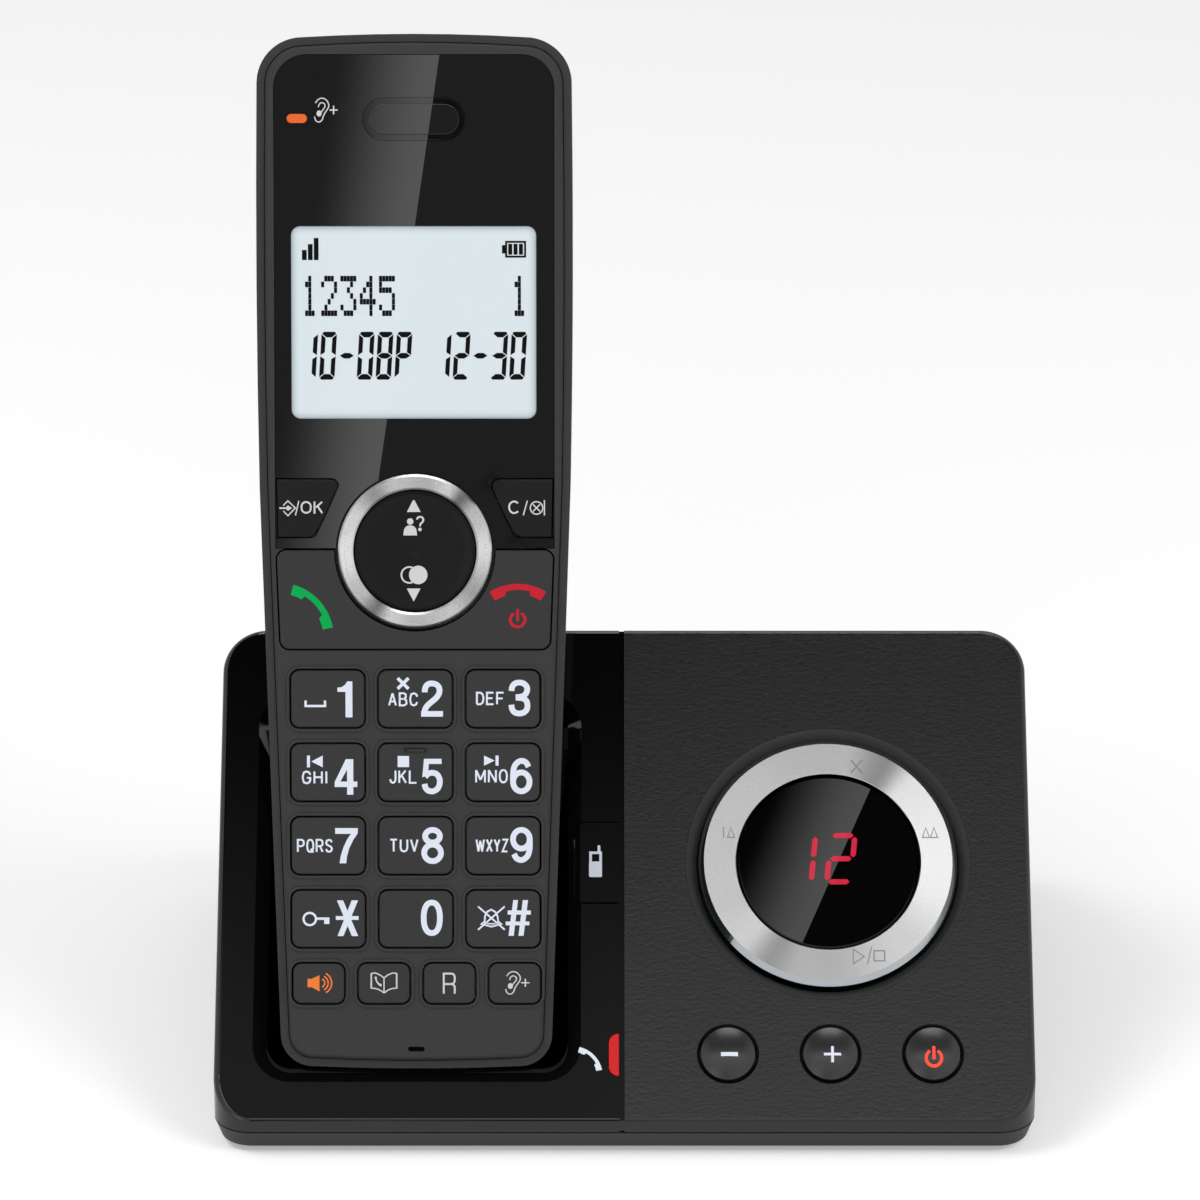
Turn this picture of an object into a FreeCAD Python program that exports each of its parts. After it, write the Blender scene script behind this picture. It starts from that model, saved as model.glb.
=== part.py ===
"""Cordless telephone with an answering machine in its charging base.

The base is a wedge whose control panel slopes up to a crest. The handset stands in a
pocket in the left half of the slope and leans back more steeply than the panel.
Millimetres. Z is up, X runs along the base, and -Y is the front. The origin lies on the
table, in the middle of the base's footprint.
"""
import FreeCAD, Part
import math
import os

import Sketcher

Vector = FreeCAD.Vector
doc = FreeCAD.newDocument("CordlessTelephone")

# ---------------------------------------------------------------- driving dimensions
SIZES = {
    # base, seen from the side: its front edge, slope, crest and rear slope
    "base_width": 127.6, "base_depth": 90, "front_height": 6.2, "panel_angle": 44,
    "panel_length": 81.5, "rear_wall_top": 20.1, "front_corner": 6, "rear_corner": 7,
    "cover_edge": 1, "cover_wall": 2, "seam_x": -0.4, "seam_width": 0.8,
    # lower shell, plinth and feet
    "shell_bottom": 1.2, "shell_top": 4, "shell_floor": 1.5, "shell_draft": 20,
    "shell_gap": 0.2, "lip_thickness": 1.2, "lip_height": 1.4, "lip_inset": 15.8,
    "plinth_inset": 11.8, "plinth_front": 8, "plinth_rear": 8, "plinth_bottom": 0.4,
    "foot_width": 6.5, "foot_length": 12, "foot_thickness": 0.8,
    "front_screw_inset": 4.3, "rear_screw_inset": 8.3, "front_screw_y": 16,
    "rear_screw_back": 12, "boss_drop": 3.6,
    "boss_radius": 2.6, "screw_radius": 1, "head_radius": 1.9, "head_height": 0.9,
    "screw_length": 8, "screw_slack": 0.1,
    # pocket that the handset stands in
    "dock_rise": 8.3, "lean_angle": 20, "seat_gap": 0.3,
    "pocket_half": 23.43, "pocket_wall": 1.6, "pocket_corner": 6, "pocket_bevel": 2.1,
    "pocket_round": 3.8, "pocket_front": 6.26, "pocket_top": 70.6,
    # dial, its display and the boards under the panel
    "dial_shift": 0.1, "dial_v": 42, "recess_radius": 22.4, "recess_inner": 20.6,
    "ring_radius": 20, "ring_face": 19.4, "ring_bore": 14.5, "ring_proud": 1,
    "ring_depth": 2.7, "dial_lens_radius": 14.1, "dial_lens_thickness": 1.5,
    "dial_lens_proud": 0.5, "pad_outer": 19.6, "pad_inner": 15.2, "pad_gap": 0.65,
    "pad_bottom": 7.3, "digit_case_radius": 12.5, "board_depth": 8, "board_thickness": 1.6,
    "panel_board_gap": 1.27, "panel_board_inset": 7.6, "panel_board_low": 7.5,
    "panel_board_high": 70, "post_radius": 2.4, "post_inset": 4,
    # push buttons of the base
    "button_v": 10.8, "button_shift": 0.07, "button_pitch": 15.92, "button_radius": 4.2,
    "button_dome": 0.9, "button_rim": 0.2, "button_flange": 5.4, "button_hole": 4.4,
    "button_well": 4.85, "button_bottom": 4.2, "flange_gap": 0.3, "flange_thickness": 0.8,
    "mat_depth": 5.1, "button_mat_inset": 9.5, "button_mat_gap": 2.4,
    "dome_foot": 2.9, "dome_head": 1.9, "dome_sink": 0.5, "sheet_thickness": 1, "sheet_corner": 2,
    "mat_low": 7.7, "mat_high": 16.8,
    "page_from_pocket": 1.11, "switch_half": 3, "switch_gap": 0.5,
    "page_low": 35.47, "page_high": 48.65, "page_corner": 1.6,
    "page_gap": 0.2, "page_proud": 0.15,
    "light_left": -2.44, "light_low": 7.23, "light_high": 14, "light_round": 1.5,
    "light_gap": 0.1,
    # base board, sockets and loudspeaker
    "base_board_left": 6, "base_board_inset": 6.8, "base_board_length": 31.8,
    "base_board_rear": 3.7, "base_board_level": 4.2, "can_width": 20, "can_length": 14,
    "can_height": 3, "chip_width": 12, "chip_length": 10, "chip_height": 1.2,
    "jack_height": 11.5, "jack_depth": 14, "line_jack_x": 20, "line_jack_width": 13,
    "line_plug_width": 9.7, "line_plug_height": 6.7, "power_jack_x": 41,
    "power_jack_width": 11, "power_plug_width": 7.7, "power_plug_height": 6.1,
    "plug_depth": 11, "plug_rise": 2.2, "plug_key": 1.4, "jack_gap": 0.3,
    "speaker_gap": 1, "speaker_radius": 15, "speaker_height": 8.5,
    "basket_height": 2.2, "basket_rim": 1.2, "cone_depth": 2.4, "magnet_radius": 9.3,
    "grille_slots": 7, "grille_pitch": 3.4, "grille_slot": 1.4,
    # handset outline on its face, and its thickness
    "handset_length": 159.9, "bottom_half": 20.9, "shoulder_half": 23.9, "shoulder_y": 90,
    "top_half": 24, "side_sag": 0.3, "bottom_sag": 0.6, "top_sag": 1, "top_corner": 7,
    "bottom_corner": 5, "handset_thickness": 25, "heel_depth": 11.5, "heel_radius": 8,
    "heel_taper": 12, "top_taper": 8, "top_taper_y": 122, "crown_radius": 6,
    "back_round": 6, "rim_depth": 0.9, "rim_width": 1.2, "rim_gap": 0.12,
    "face_round": 0.8, "face_thickness": 2, "face_skirt": 3.4, "skirt_wall": 0.8,
    "rear_wall": 1.9, "blend": 0.1,
    # handset window, display and small front pieces
    "window_half": 21.4, "window_low": 81.1, "window_from_top": 3.2, "window_corner": 5,
    "window_thickness": 1.1, "window_gap": 0.1, "screen_half": 18.78, "screen_x": -0.08,
    "screen_low": 101.05, "screen_from_top": 29.35, "screen_corner": 1.4,
    "lcd_half": 20.3, "lcd_low": 97, "lcd_margin": 3.95, "lcd_top": 2.1,
    "ear_from_top": 13, "ear_half": 7.9, "ear_radius": 3.3, "ear_inner": 2.45,
    "ear_floor": 0.9, "ear_thickness": 1.9, "ear_holes": 7, "ear_hole_pitch": 1.7,
    "ear_hole_radius": 0.45, "insert_gap": 0.06, "insert_proud": 0.05,
    "ear_speaker_radius": 7, "ear_speaker_height": 3.6,
    "led_x": -17.9, "led_from_top": 12.9, "led_half": 1.6, "led_radius": 0.75,
    "mic_y": 3.16, "mic_half": 1.3, "mic_slot": 0.4, "mic_radius": 2.2, "mic_height": 2.6,
    # handset keys
    "key_width": 11.3, "key_height": 8.8, "key_corner": 1.3, "key_gap": 0.25,
    "key_proud": 0.35, "key_edge": 0.3, "key_skirt": 3.1, "key_flange": 0.5,
    "key_flange_thickness": 0.6, "column_pitch": 13.52, "row_pitch": 11.41,
    "bottom_row": 23.55, "function_width": 7.9, "function_height": 6.2,
    "function_pitch": 10.12, "function_x": 0.1, "function_row": 13.47,
    "talk_half_low": 20.7, "talk_half_high": 21.3, "talk_low": 65.5, "talk_high": 80.75,
    "talk_corner": 1.4, "talk_gap": 0.25, "talk_notch": 12.45,
    "nav_y": 80.65, "nav_outer": 11.85, "nav_inner": 9.5, "nav_hole": 12.2,
    "nav_bore": 10.6, "nav_seat": 1.2, "nav_proud": 0.55, "nav_disc": 9.25,
    "nav_flange": 10.15, "nav_flange_top": 1.75, "nav_disc_proud": 0.25,
    "soft_low": 82.8, "soft_high": 91.7, "soft_mid": 86.2, "soft_edge_low": 15.6,
    "soft_edge_mid": 13.8, "soft_edge_high": 11.3, "soft_out_low": 21, "soft_out_high": 21.2,
    "soft_gap": 0.2,
    # handset inside
    "mat_top": 4.1, "mat_thickness": 1.5, "mat_half": 18.6, "mat_end": 9.3, "mat_start": 93,
    "phone_board_half": 18.6, "phone_board_low": 9.3, "phone_board_from_top": 23.9,
    "phone_board_thickness": 1.4,
    "cell_radius": 5.2, "cell_length": 44.5, "cell_pitch": 11, "cell_gap": 0.3,
    "bay_wall": 1.2, "bay_margin": 2.2, "contact_thickness": 0.4, "contact_half": 3.6,
    "door_half": 15, "door_low": 68.6, "door_high": 120.6, "door_thickness": 1.2,
    "door_corner": 3, "door_gap": 0.3, "door_ledge": 1.5, "grip_width": 12,
    "sounder_y": 44, "sounder_radius": 9, "sounder_height": 4.5, "sounder_slots": 5,
    "sounder_pitch": 3.2, "sounder_slot": 0.7,
    "strip_x": 7, "strip_depth": 6.8, "strip_half": 1.7, "strip_height": 2.4,
    "strip_recess": 0.6, "strip_flange": 0.8, "pin_half": 0.8, "pin_height": 1.7,
    "pin_proud": 0.6, "pin_length": 4.8, "pin_gap": 0.2, "pin_flange": 0.7,
    "phone_screw_from_top": 8.4, "phone_screw_top_x": 14.5, "phone_screw_low": 6.3,
    "phone_screw_low_x": 12.5, "phone_boss": 2.6, "phone_boss_split": 11,
    "phone_screw_length": 9, "phone_head_depth": 16.5,
}


class Dim:
    """A size with the expression that gives it, so that shapes can be bound to the sheet."""

    def __init__(self, value, text):
        self.value = float(value)
        self.text = text

    def __add__(self, other):
        other = as_dim(other)
        return Dim(self.value + other.value, "(%s + %s)" % (self.text, other.text))

    def __sub__(self, other):
        other = as_dim(other)
        return Dim(self.value - other.value, "(%s - %s)" % (self.text, other.text))

    def __mul__(self, other):
        other = as_dim(other)
        return Dim(self.value * other.value, "(%s * %s)" % (self.text, other.text))

    def __truediv__(self, other):
        other = as_dim(other)
        return Dim(self.value / other.value, "(%s / %s)" % (self.text, other.text))

    def __rsub__(self, other):
        return as_dim(other) - self

    def __neg__(self):
        return Dim(-self.value, "(0 - %s)" % self.text)

    __radd__ = __add__
    __rmul__ = __mul__


def as_dim(number):
    return number if isinstance(number, Dim) else Dim(number, "(%r)" % float(number))


def sin(angle):
    return Dim(math.sin(math.radians(angle.value)), "sin(%s)" % angle.text)


def cos(angle):
    return Dim(math.cos(math.radians(angle.value)), "cos(%s)" % angle.text)


def tan(angle):
    return Dim(math.tan(math.radians(angle.value)), "tan(%s)" % angle.text)


def atan(ratio):
    return Dim(math.degrees(math.atan(ratio.value)), "atan(%s)" % ratio.text)


def root(square):
    return Dim(math.sqrt(square.value), "sqrt(%s)" % square.text)


def arc_radius(chord, sag):
    """Radius of the arc that stands sag above a chord."""
    return (chord * chord / 4 + sag * sag) / (sag * 2)


class Sizes:
    """Writes the driving dimensions to the sheet and hands them out as Dim values."""

    def __init__(self, values):
        self.sheet = doc.addObject("Spreadsheet::Sheet", "Sizes")
        for row, (alias, value) in enumerate(values.items(), start=1):
            self.sheet.set("A%d" % row, alias.replace("_", " "))
            self.sheet.set("B%d" % row, str(value))
            self.sheet.setAlias("B%d" % row, alias)
        doc.recompute()

    def __getattr__(self, alias):
        return Dim(self.sheet.get(alias), "Sizes." + alias)


S = Sizes(SIZES)
PAST = 2  # how far a cutting shape runs past the face that it opens


# ---------------------------------------------------------------- frames
class Frame:
    """A place turned about X. Shapes are drawn in a frame's own coordinates."""

    def __init__(self, x, y, z, angle):
        self.x, self.y, self.z, self.angle = x, y, z, angle

    def shift(self, x=0, y=0, z=0):
        x, y, z = as_dim(x), as_dim(y), as_dim(z)
        across, up = cos(self.angle), sin(self.angle)
        return Frame(self.x + x, self.y + y * across - z * up,
                     self.z + y * up + z * across, self.angle)

    def turn(self, angle):
        return Frame(self.x, self.y, self.z, self.angle + angle)

    def text(self):
        return "placement(vector(%s; %s; %s); rotation(vector(1; 0; 0); %s))" % (
            self.x.text, self.y.text, self.z.text, self.angle.text)


base_half = S.base_width / 2
left_of_seam = S.seam_x - S.seam_width / 2
right_of_seam = S.seam_x + S.seam_width / 2
dock_x = (left_of_seam - base_half) / 2
dial_x = (right_of_seam + base_half) / 2 + S.dial_shift
pocket_side = dock_x + S.pocket_half
page_left = pocket_side + S.page_from_pocket
panel_board_left = pocket_side + S.pocket_wall + S.panel_board_gap

# desk: y from the base's front edge. panel: x, y on the slope, z out of it.
# dock: x, y on the handset's face from its bottom end, z out of the face.
desk = Frame(as_dim(0), S.base_depth / -2, as_dim(0), as_dim(0))
panel = desk.shift(z=S.front_height).turn(S.panel_angle)
dock = panel.shift(x=dock_x, y=S.dock_rise).turn(90 - S.lean_angle - S.panel_angle)

NODES = {}


def node(label, shape):
    shape.Label = label
    NODES[label] = shape
    return shape


# ---------------------------------------------------------------- sketches and features
def bind(shape, prop, size):
    shape.setExpression(prop, as_dim(size).text)


def new_body(label, frame):
    body = doc.addObject("PartDesign::Body", label)
    body.Label = label
    body.setExpression("Placement", frame.text())
    return body


def new_sketch(body, plane, level):
    sketch = body.newObject("Sketcher::SketchObject", body.Label + "_sketch")
    origin = [item for item in body.Origin.OriginFeatures if item.Role == plane][0]
    sketch.AttachmentSupport = [(origin, "")]
    sketch.MapMode = "FlatFace"
    bind(sketch, "AttachmentOffset.Base.z", level)
    return sketch


def fix(sketch, kind, size, *where):
    """Adds one dimension to the sketch and binds it to the sheet."""
    size = as_dim(size)
    number = sketch.addConstraint(Sketcher.Constraint(kind, *where, size.value))
    sketch.setExpression("Constraints[%d]" % number, size.text)


def arc_between(start, end, radius):
    """An arc from start to end, to the right of the chord if radius is positive."""
    chord = end - start
    left = Vector(-chord.y, chord.x, 0).normalize()
    reach = abs(radius) - math.sqrt(max(radius ** 2 - chord.Length ** 2 / 4, 0))
    middle = (start + end) / 2 - left * reach * math.copysign(1, radius)
    return Part.Arc(start, middle, end) if radius > 0 else Part.Arc(end, middle, start)


def draw(sketch, points):
    """Closed outline. A point's third value is the radius of the arc to the next point."""
    places = [Vector(as_dim(p[0]).value, as_dim(p[1]).value, 0) for p in points]
    ends = []
    for i, point in enumerate(points):
        start, end = places[i], places[(i + 1) % len(points)]
        if len(point) == 3:
            radius = as_dim(point[2])
            edge = sketch.addGeometry(arc_between(start, end, radius.value), False)
            fix(sketch, "Radius", radius if radius.value > 0 else -radius, edge)
            ends.append((edge, 1, 2) if radius.value > 0 else (edge, 2, 1))
        else:
            edge = sketch.addGeometry(Part.LineSegment(start, end), False)
            ends.append((edge, 1, 2))
    for i, point in enumerate(points):
        edge, first, _ = ends[i]
        before, _, last = ends[i - 1]
        sketch.addConstraint(Sketcher.Constraint("Coincident", before, last, edge, first))
        fix(sketch, "DistanceX", point[0], -1, 1, edge, first)
        fix(sketch, "DistanceY", point[1], -1, 1, edge, first)


def draw_circle(sketch, x, y, radius):
    place = Vector(as_dim(x).value, as_dim(y).value, 0)
    edge = sketch.addGeometry(Part.Circle(place, Vector(0, 0, 1), as_dim(radius).value), False)
    fix(sketch, "Radius", radius, edge)
    fix(sketch, "DistanceX", x, -1, 1, edge, 3)
    fix(sketch, "DistanceY", y, -1, 1, edge, 3)


def feature(body, kind, sketch):
    made = body.newObject("PartDesign::" + kind, body.Label + "_" + kind.lower())
    made.Profile = sketch
    sketch.Visibility = False
    return made


def pad(body, sketch, length, taper=None, down=False):
    made = feature(body, "Pad", sketch)
    bind(made, "Length", length)
    made.Reversed = down
    if taper is not None:
        bind(made, "TaperAngle", taper)
    return made


def pocket(body, sketch, depth):
    """Cuts downwards from the sketch."""
    made = feature(body, "Pocket", sketch)
    bind(made, "Length", depth)
    return made


def prism(body, points, low, high):
    """Adds an upright prism from level low to level high."""
    sketch = new_sketch(body, "XY_Plane", low)
    draw(sketch, points)
    return pad(body, sketch, high - as_dim(low))


def side_prism(body, points, left, right):
    """Adds a prism along X whose outline is in Y and Z."""
    sketch = new_sketch(body, "YZ_Plane", left)
    draw(sketch, points)
    return pad(body, sketch, right - as_dim(left))


def turned(label, frame, points):
    """A turned piece: points are radius and height about the frame's Z axis."""
    body = new_body(label, frame)
    sketch = new_sketch(body, "XZ_Plane", 0)
    draw(sketch, points)
    made = feature(body, "Revolution", sketch)
    made.ReferenceAxis = (sketch, ["V_Axis"])
    made.Angle = 360
    return body


def edge_names(made, test):
    doc.recompute()
    return ["Edge%d" % i for i, edge in enumerate(made.Shape.Edges, start=1) if test(edge)]


def smooth(body, made, kind, size, test):
    """Rounds or chamfers the edges that pass the test."""
    names = edge_names(made, test)
    if not names:
        raise RuntimeError("no edge to work on in " + body.Label)
    dressed = body.newObject("PartDesign::" + kind, body.Label + "_" + kind.lower())
    dressed.Base = (made, names)
    bind(dressed, "Radius" if kind == "Fillet" else "Size", size)
    return dressed


def near(a, b, slack=1e-4):
    return abs(as_dim(a).value - as_dim(b).value) < slack


def upright(edge):
    box = edge.BoundBox
    return box.XLength < 1e-5 and box.YLength < 1e-5 and box.ZLength > 1e-3


def flat_at(level):
    return lambda edge: edge.BoundBox.ZLength < 1e-5 and near(edge.BoundBox.ZMax, level)


def upright_to(level):
    return lambda edge: upright(edge) and near(edge.BoundBox.ZMax, level)


def rectangle(left, right, low, high):
    return [(left, low), (right, low), (right, high), (left, high)]


def rounded(left, right, low, high, radius):
    """Rectangle with four round corners."""
    return [(left + radius, low), (right - radius, low, radius),
            (right, low + radius), (right, high - radius, radius),
            (right - radius, high), (left + radius, high, radius),
            (left, high - radius), (left, low + radius, radius)]


def slot(x, y, half, radius):
    """Stadium along X: half is half of its whole length."""
    reach = half - radius
    return [(x - reach, y - radius), (x + reach, y - radius, radius),
            (x + half, y, radius), (x + reach, y + radius),
            (x - reach, y + radius, radius), (x - half, y, radius)]


def block(label, frame, points, low, high):
    body = new_body(label, frame)
    prism(body, points, low, high)
    return body


def rod(label, frame, x, y, low, high, radius):
    made = doc.addObject("Part::Cylinder", label)
    made.Label = label
    bind(made, "Radius", radius)
    bind(made, "Height", high - as_dim(low))
    made.setExpression("Placement", frame.shift(x, y, low).text())
    return made


def box(label, frame, left, right, low, high, bottom, top):
    made = doc.addObject("Part::Box", label)
    made.Label = label
    bind(made, "Length", right - as_dim(left))
    bind(made, "Width", high - as_dim(low))
    bind(made, "Height", top - as_dim(bottom))
    made.setExpression("Placement", frame.shift(left, low, bottom).text())
    return made


def fuse(label, *shapes):
    made = doc.addObject("Part::MultiFuse", label)
    made.Label = label
    made.Shapes = list(shapes)
    return made


def common(label, *shapes):
    made = doc.addObject("Part::MultiCommon", label)
    made.Label = label
    made.Shapes = list(shapes)
    return made


def cut(label, base, *tools):
    made = doc.addObject("Part::Cut", label)
    made.Label = label
    made.Base = base
    made.Tool = tools[0] if len(tools) == 1 else fuse(label + "_cutters", *tools)
    return made


def group(label, shapes):
    made = doc.addObject("Part::Compound", label)
    made.Label = label
    made.Links = list(shapes)
    return made


# ---------------------------------------------------------------- base: forms
crest_y = S.panel_length * cos(S.panel_angle)
crest_z = S.front_height + S.panel_length * sin(S.panel_angle)
rear_angle = atan((crest_z - S.rear_wall_top) / (S.base_depth - crest_y))
cover_bottom = S.shell_top + S.shell_gap
rear_screw_y = S.base_depth - S.rear_screw_back


def slope_height(y, inset):
    """Height of the panel's plane, moved inwards by inset, at a distance from the front."""
    return S.front_height + as_dim(y) * tan(S.panel_angle) - inset / cos(S.panel_angle)


def rear_height(y, inset):
    return crest_z - (as_dim(y) - crest_y) * tan(rear_angle) - inset / cos(rear_angle)


def wedge(label, inset, bottom, edge=None):
    """The base's wedge, made smaller all round by inset."""
    slope, fall = tan(S.panel_angle), tan(rear_angle)
    top_y = (rear_height(0, inset) - slope_height(0, inset)) / (slope + fall)
    back = S.base_depth - inset
    body = new_body(label, desk)
    made = side_prism(body, [(inset, bottom), (back, bottom),
                             (back, rear_height(back, inset)),
                             (top_y, slope_height(top_y, inset)),
                             (inset, slope_height(inset, inset))],
                      inset - base_half, base_half - inset)
    made = smooth(body, made, "Fillet", S.front_corner - inset,
                  lambda e: upright(e) and near(e.BoundBox.YMin, inset))
    made = smooth(body, made, "Fillet", S.rear_corner - inset,
                  lambda e: e.BoundBox.XLength < 1e-5 and e.BoundBox.YMin > top_y.value - 1e-3
                  and e.BoundBox.ZLength > 1)
    if edge is not None:
        doc.recompute()
        top = [face for face in made.Shape.Faces
               if face.normalAt(0, 0).z > 0.1 and face.normalAt(0, 0).y < -0.1
               and face.Surface.TypeId == "Part::GeomPlane"][0]
        rims = [rim.hashCode() for rim in top.Edges]
        smooth(body, made, "Fillet", edge, lambda e: e.hashCode() in rims)
    return body


def pocket_form(label, grow):
    """The space that the docked handset needs, made larger all round by grow."""
    gap = S.seat_gap + grow
    half = S.pocket_half + grow
    heel = S.heel_radius + S.blend + gap
    back = -(S.handset_thickness + gap)
    turn_y = S.heel_radius - heel * sin(S.heel_taper)
    turn_z = -(S.heel_depth + heel * cos(S.heel_taper))
    flat_y = turn_y + (turn_z - back) / tan(S.heel_taper)
    reach = S.panel_length + S.handset_thickness
    body = new_body(label, dock)
    made = side_prism(body, [(-gap, S.handset_thickness), (-gap, -S.heel_depth, heel),
                             (turn_y, turn_z), (flat_y, back), (reach, back),
                             (reach, S.handset_thickness)], -half, half)
    smooth(body, made, "Fillet", S.pocket_round + grow,
           lambda e: near(abs(e.BoundBox.XMin), half) and e.BoundBox.XLength < 1e-5
           and e.BoundBox.YMax < reach.value / 2 and e.BoundBox.YMin < 1)
    return body


def pocket_rim():
    """The pocket's bevelled mouth in the slope."""
    left = dock_x - S.pocket_half - S.pocket_bevel
    right = dock_x + S.pocket_half + S.pocket_bevel
    outline = rounded(left, right, S.pocket_front, S.pocket_top, S.pocket_corner)
    body = new_body("pocket_rim", panel)
    sketch = new_sketch(body, "XY_Plane", 0)
    draw(sketch, outline)
    pad(body, sketch, S.pocket_bevel, taper=-45, down=True)
    prism(body, outline, 0, S.handset_thickness)
    return body


def screw_places():
    front_x, rear_x = base_half - S.front_screw_inset, base_half - S.rear_screw_inset
    return [(-front_x, S.front_screw_y), (front_x, S.front_screw_y),
            (-rear_x, rear_screw_y), (rear_x, rear_screw_y)]


def case_boss(name, x, y, rear):
    top = (rear_height(y, S.cover_wall / 2) if rear else slope_height(y, S.cover_wall / 2))
    outside = rod(name + "_boss", desk, x, y, cover_bottom, top - S.boss_drop, S.boss_radius)
    hole = rod(name + "_hole", desk, x, y, 0, S.shell_bottom + S.screw_length + S.screw_slack,
               S.screw_radius)
    return outside, hole


# ---------------------------------------------------------------- base: covers
def page_outline(grow):
    left, low, high = page_left - grow, S.page_low - grow, S.page_high + grow
    corner = S.page_corner + grow
    right = left_of_seam - S.light_gap if as_dim(grow).value == 0 else right_of_seam
    return [(left + corner, low), (right, low), (right, high),
            (left + corner, high, corner), (left, high - corner), (left, low + corner, corner)]


def light_outline(grow):
    left, low, high = S.light_left - grow, S.light_low - grow, S.light_high + grow
    corner = S.light_round + grow
    right = left_of_seam - S.light_gap if as_dim(grow).value == 0 else right_of_seam
    return [(left + corner, low), (right, low), (right, high),
            (left + corner, high, corner), (left, high - corner), (left, low + corner, corner)]


def cradle_cover(outer, inner):
    """Glossy left cover with the pocket, the page button's opening and the light's."""
    far = S.base_depth + PAST
    half_space = box("left_side", desk, -S.base_width, left_of_seam, -PAST, far, 0, far)
    bosses = [case_boss("front_left", *screw_places()[0], False),
              case_boss("rear_left", *screw_places()[2], True)]
    shell = cut("left_shell", common("left_form", outer, half_space), inner)
    tub = common("pocket_tub", pocket_form("pocket_outside", S.pocket_wall), outer)
    full = fuse("left_cover", shell, tub, *[boss[0] for boss in bosses])
    pins = [charge_pin_hole("charge_hole_left", -1), charge_pin_hole("charge_hole_right", 1)]
    opening = block("page_opening", panel, page_outline(S.page_gap),
                    -S.mat_depth - S.page_gap, PAST)
    light = block("light_opening", panel, light_outline(S.light_gap), -S.cover_wall * 2, PAST)
    node("cradle_cover", cut("cradle_cover", full, pocket_form("pocket_inside", 0),
                             pocket_rim(), opening, light, *pins,
                             *[boss[1] for boss in bosses]))


def button_places():
    middle = (right_of_seam + base_half) / 2 + S.button_shift
    return [middle + S.button_pitch * i for i in (-1, 0, 1)]


def button_well(name, x):
    chamfer = S.button_well - S.button_hole
    return turned(name + "_well", panel.shift(x, S.button_v),
                  [(0, -S.cover_wall - PAST), (S.button_hole, -S.cover_wall - PAST),
                   (S.button_hole, -chamfer), (S.button_well, 0), (S.button_well, PAST),
                   (0, PAST)])


def dial_recess():
    bottom = -S.cover_wall - PAST
    return turned("dial_recess", panel.shift(dial_x, S.dial_v),
                  [(0, bottom), (S.recess_inner, bottom), (S.recess_inner, -S.cover_wall),
                   (S.recess_radius, 0), (S.recess_radius, PAST), (0, PAST)])


panel_board_right = base_half - S.panel_board_inset


def board_posts():
    """Posts under the panel that carry its board."""
    low, high = S.panel_board_low + S.post_inset, S.panel_board_high - S.post_inset
    left, right = right_of_seam + S.post_inset, panel_board_right - S.post_inset
    return [rod("board_post_%d" % number, panel, x, v, -S.board_depth, -S.cover_wall / 2,
                S.post_radius)
            for number, (x, v) in enumerate([(left, low + S.mat_high), (right, high),
                                             (left, high)], start=1)]


def jack_opening(name, x, width):
    """Opening in the rear wall round a socket."""
    low = S.base_board_level + S.board_thickness
    half = width / 2 + S.jack_gap
    return box(name + "_opening", desk, x - half, x + half, S.base_depth - S.cover_wall * 2,
               S.base_depth + PAST, low - S.jack_gap, low + S.jack_height + S.jack_gap)


def control_cover(outer, inner):
    """Textured right cover with the dial's recess, the round buttons and the sockets."""
    far = S.base_depth + PAST
    half_space = box("right_side", desk, right_of_seam, S.base_width, -PAST, far, 0, far)
    bosses = [case_boss("front_right", *screw_places()[1], False),
              case_boss("rear_right", *screw_places()[3], True)]
    shell = cut("right_shell", common("right_form", outer, half_space), inner)
    full = fuse("right_cover", shell, *board_posts(), *[boss[0] for boss in bosses])
    wells = [button_well("button_%d" % i, x) for i, x in enumerate(button_places(), start=1)]
    jacks = [jack_opening("line_jack", S.line_jack_x, S.line_jack_width),
             jack_opening("power_jack", S.power_jack_x, S.power_jack_width)]
    node("control_cover", cut("control_cover", full, dial_recess(), *wells, *jacks,
                              *[boss[1] for boss in bosses]))


# ---------------------------------------------------------------- base: lower shell
plinth_half = base_half - S.plinth_inset
plinth_back = S.base_depth - S.plinth_rear
board_back = S.base_depth - S.base_board_rear
board_front = board_back - S.base_board_length
board_right = base_half - S.base_board_inset
speaker_y = board_front - S.speaker_radius - S.speaker_gap
tray_floor = S.shell_bottom + S.shell_floor


def foot_places():
    """Left and front corner of each foot."""
    right = plinth_half - S.foot_width
    back = plinth_back - S.foot_length
    return [(-plinth_half, S.plinth_front), (right, S.plinth_front),
            (-plinth_half, back), (right, back)]


def shell_outline(inset):
    """The base's footprint, made smaller all round by inset."""
    half, back = base_half - inset, S.base_depth - inset
    front, rear = S.front_corner - inset, S.rear_corner - inset
    return [(front - half, inset), (half - front, inset, front), (half, inset + front),
            (half, back - rear, rear), (half - rear, back), (rear - half, back, rear),
            (-half, back - rear), (-half, inset + front, front)]


def tray_lips():
    """Ribs inside the front and rear walls that locate the covers."""
    front = S.cover_wall + S.shell_gap
    back = S.base_depth - front - S.lip_thickness
    half = base_half - S.lip_inset
    return [box(name, desk, -half, half, start, start + S.lip_thickness,
                tray_floor - S.shell_floor / 3, S.shell_top + S.lip_height)
            for name, start in (("front_lip", front), ("rear_lip", back))]


def board_stands():
    """Short posts that carry the main board. The last one keeps clear of the rear boss."""
    left, right = S.base_board_left + S.post_inset, board_right - S.post_inset
    low = board_front + S.post_inset
    places = [(left, low), (right, low), (left, rear_screw_y),
              (right - S.boss_radius * 2, rear_screw_y)]
    return [rod("board_stand_%d" % number, desk, x, y, tray_floor - S.shell_floor / 3,
                S.base_board_level, S.post_radius)
            for number, (x, y) in enumerate(places, start=1)]


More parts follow.
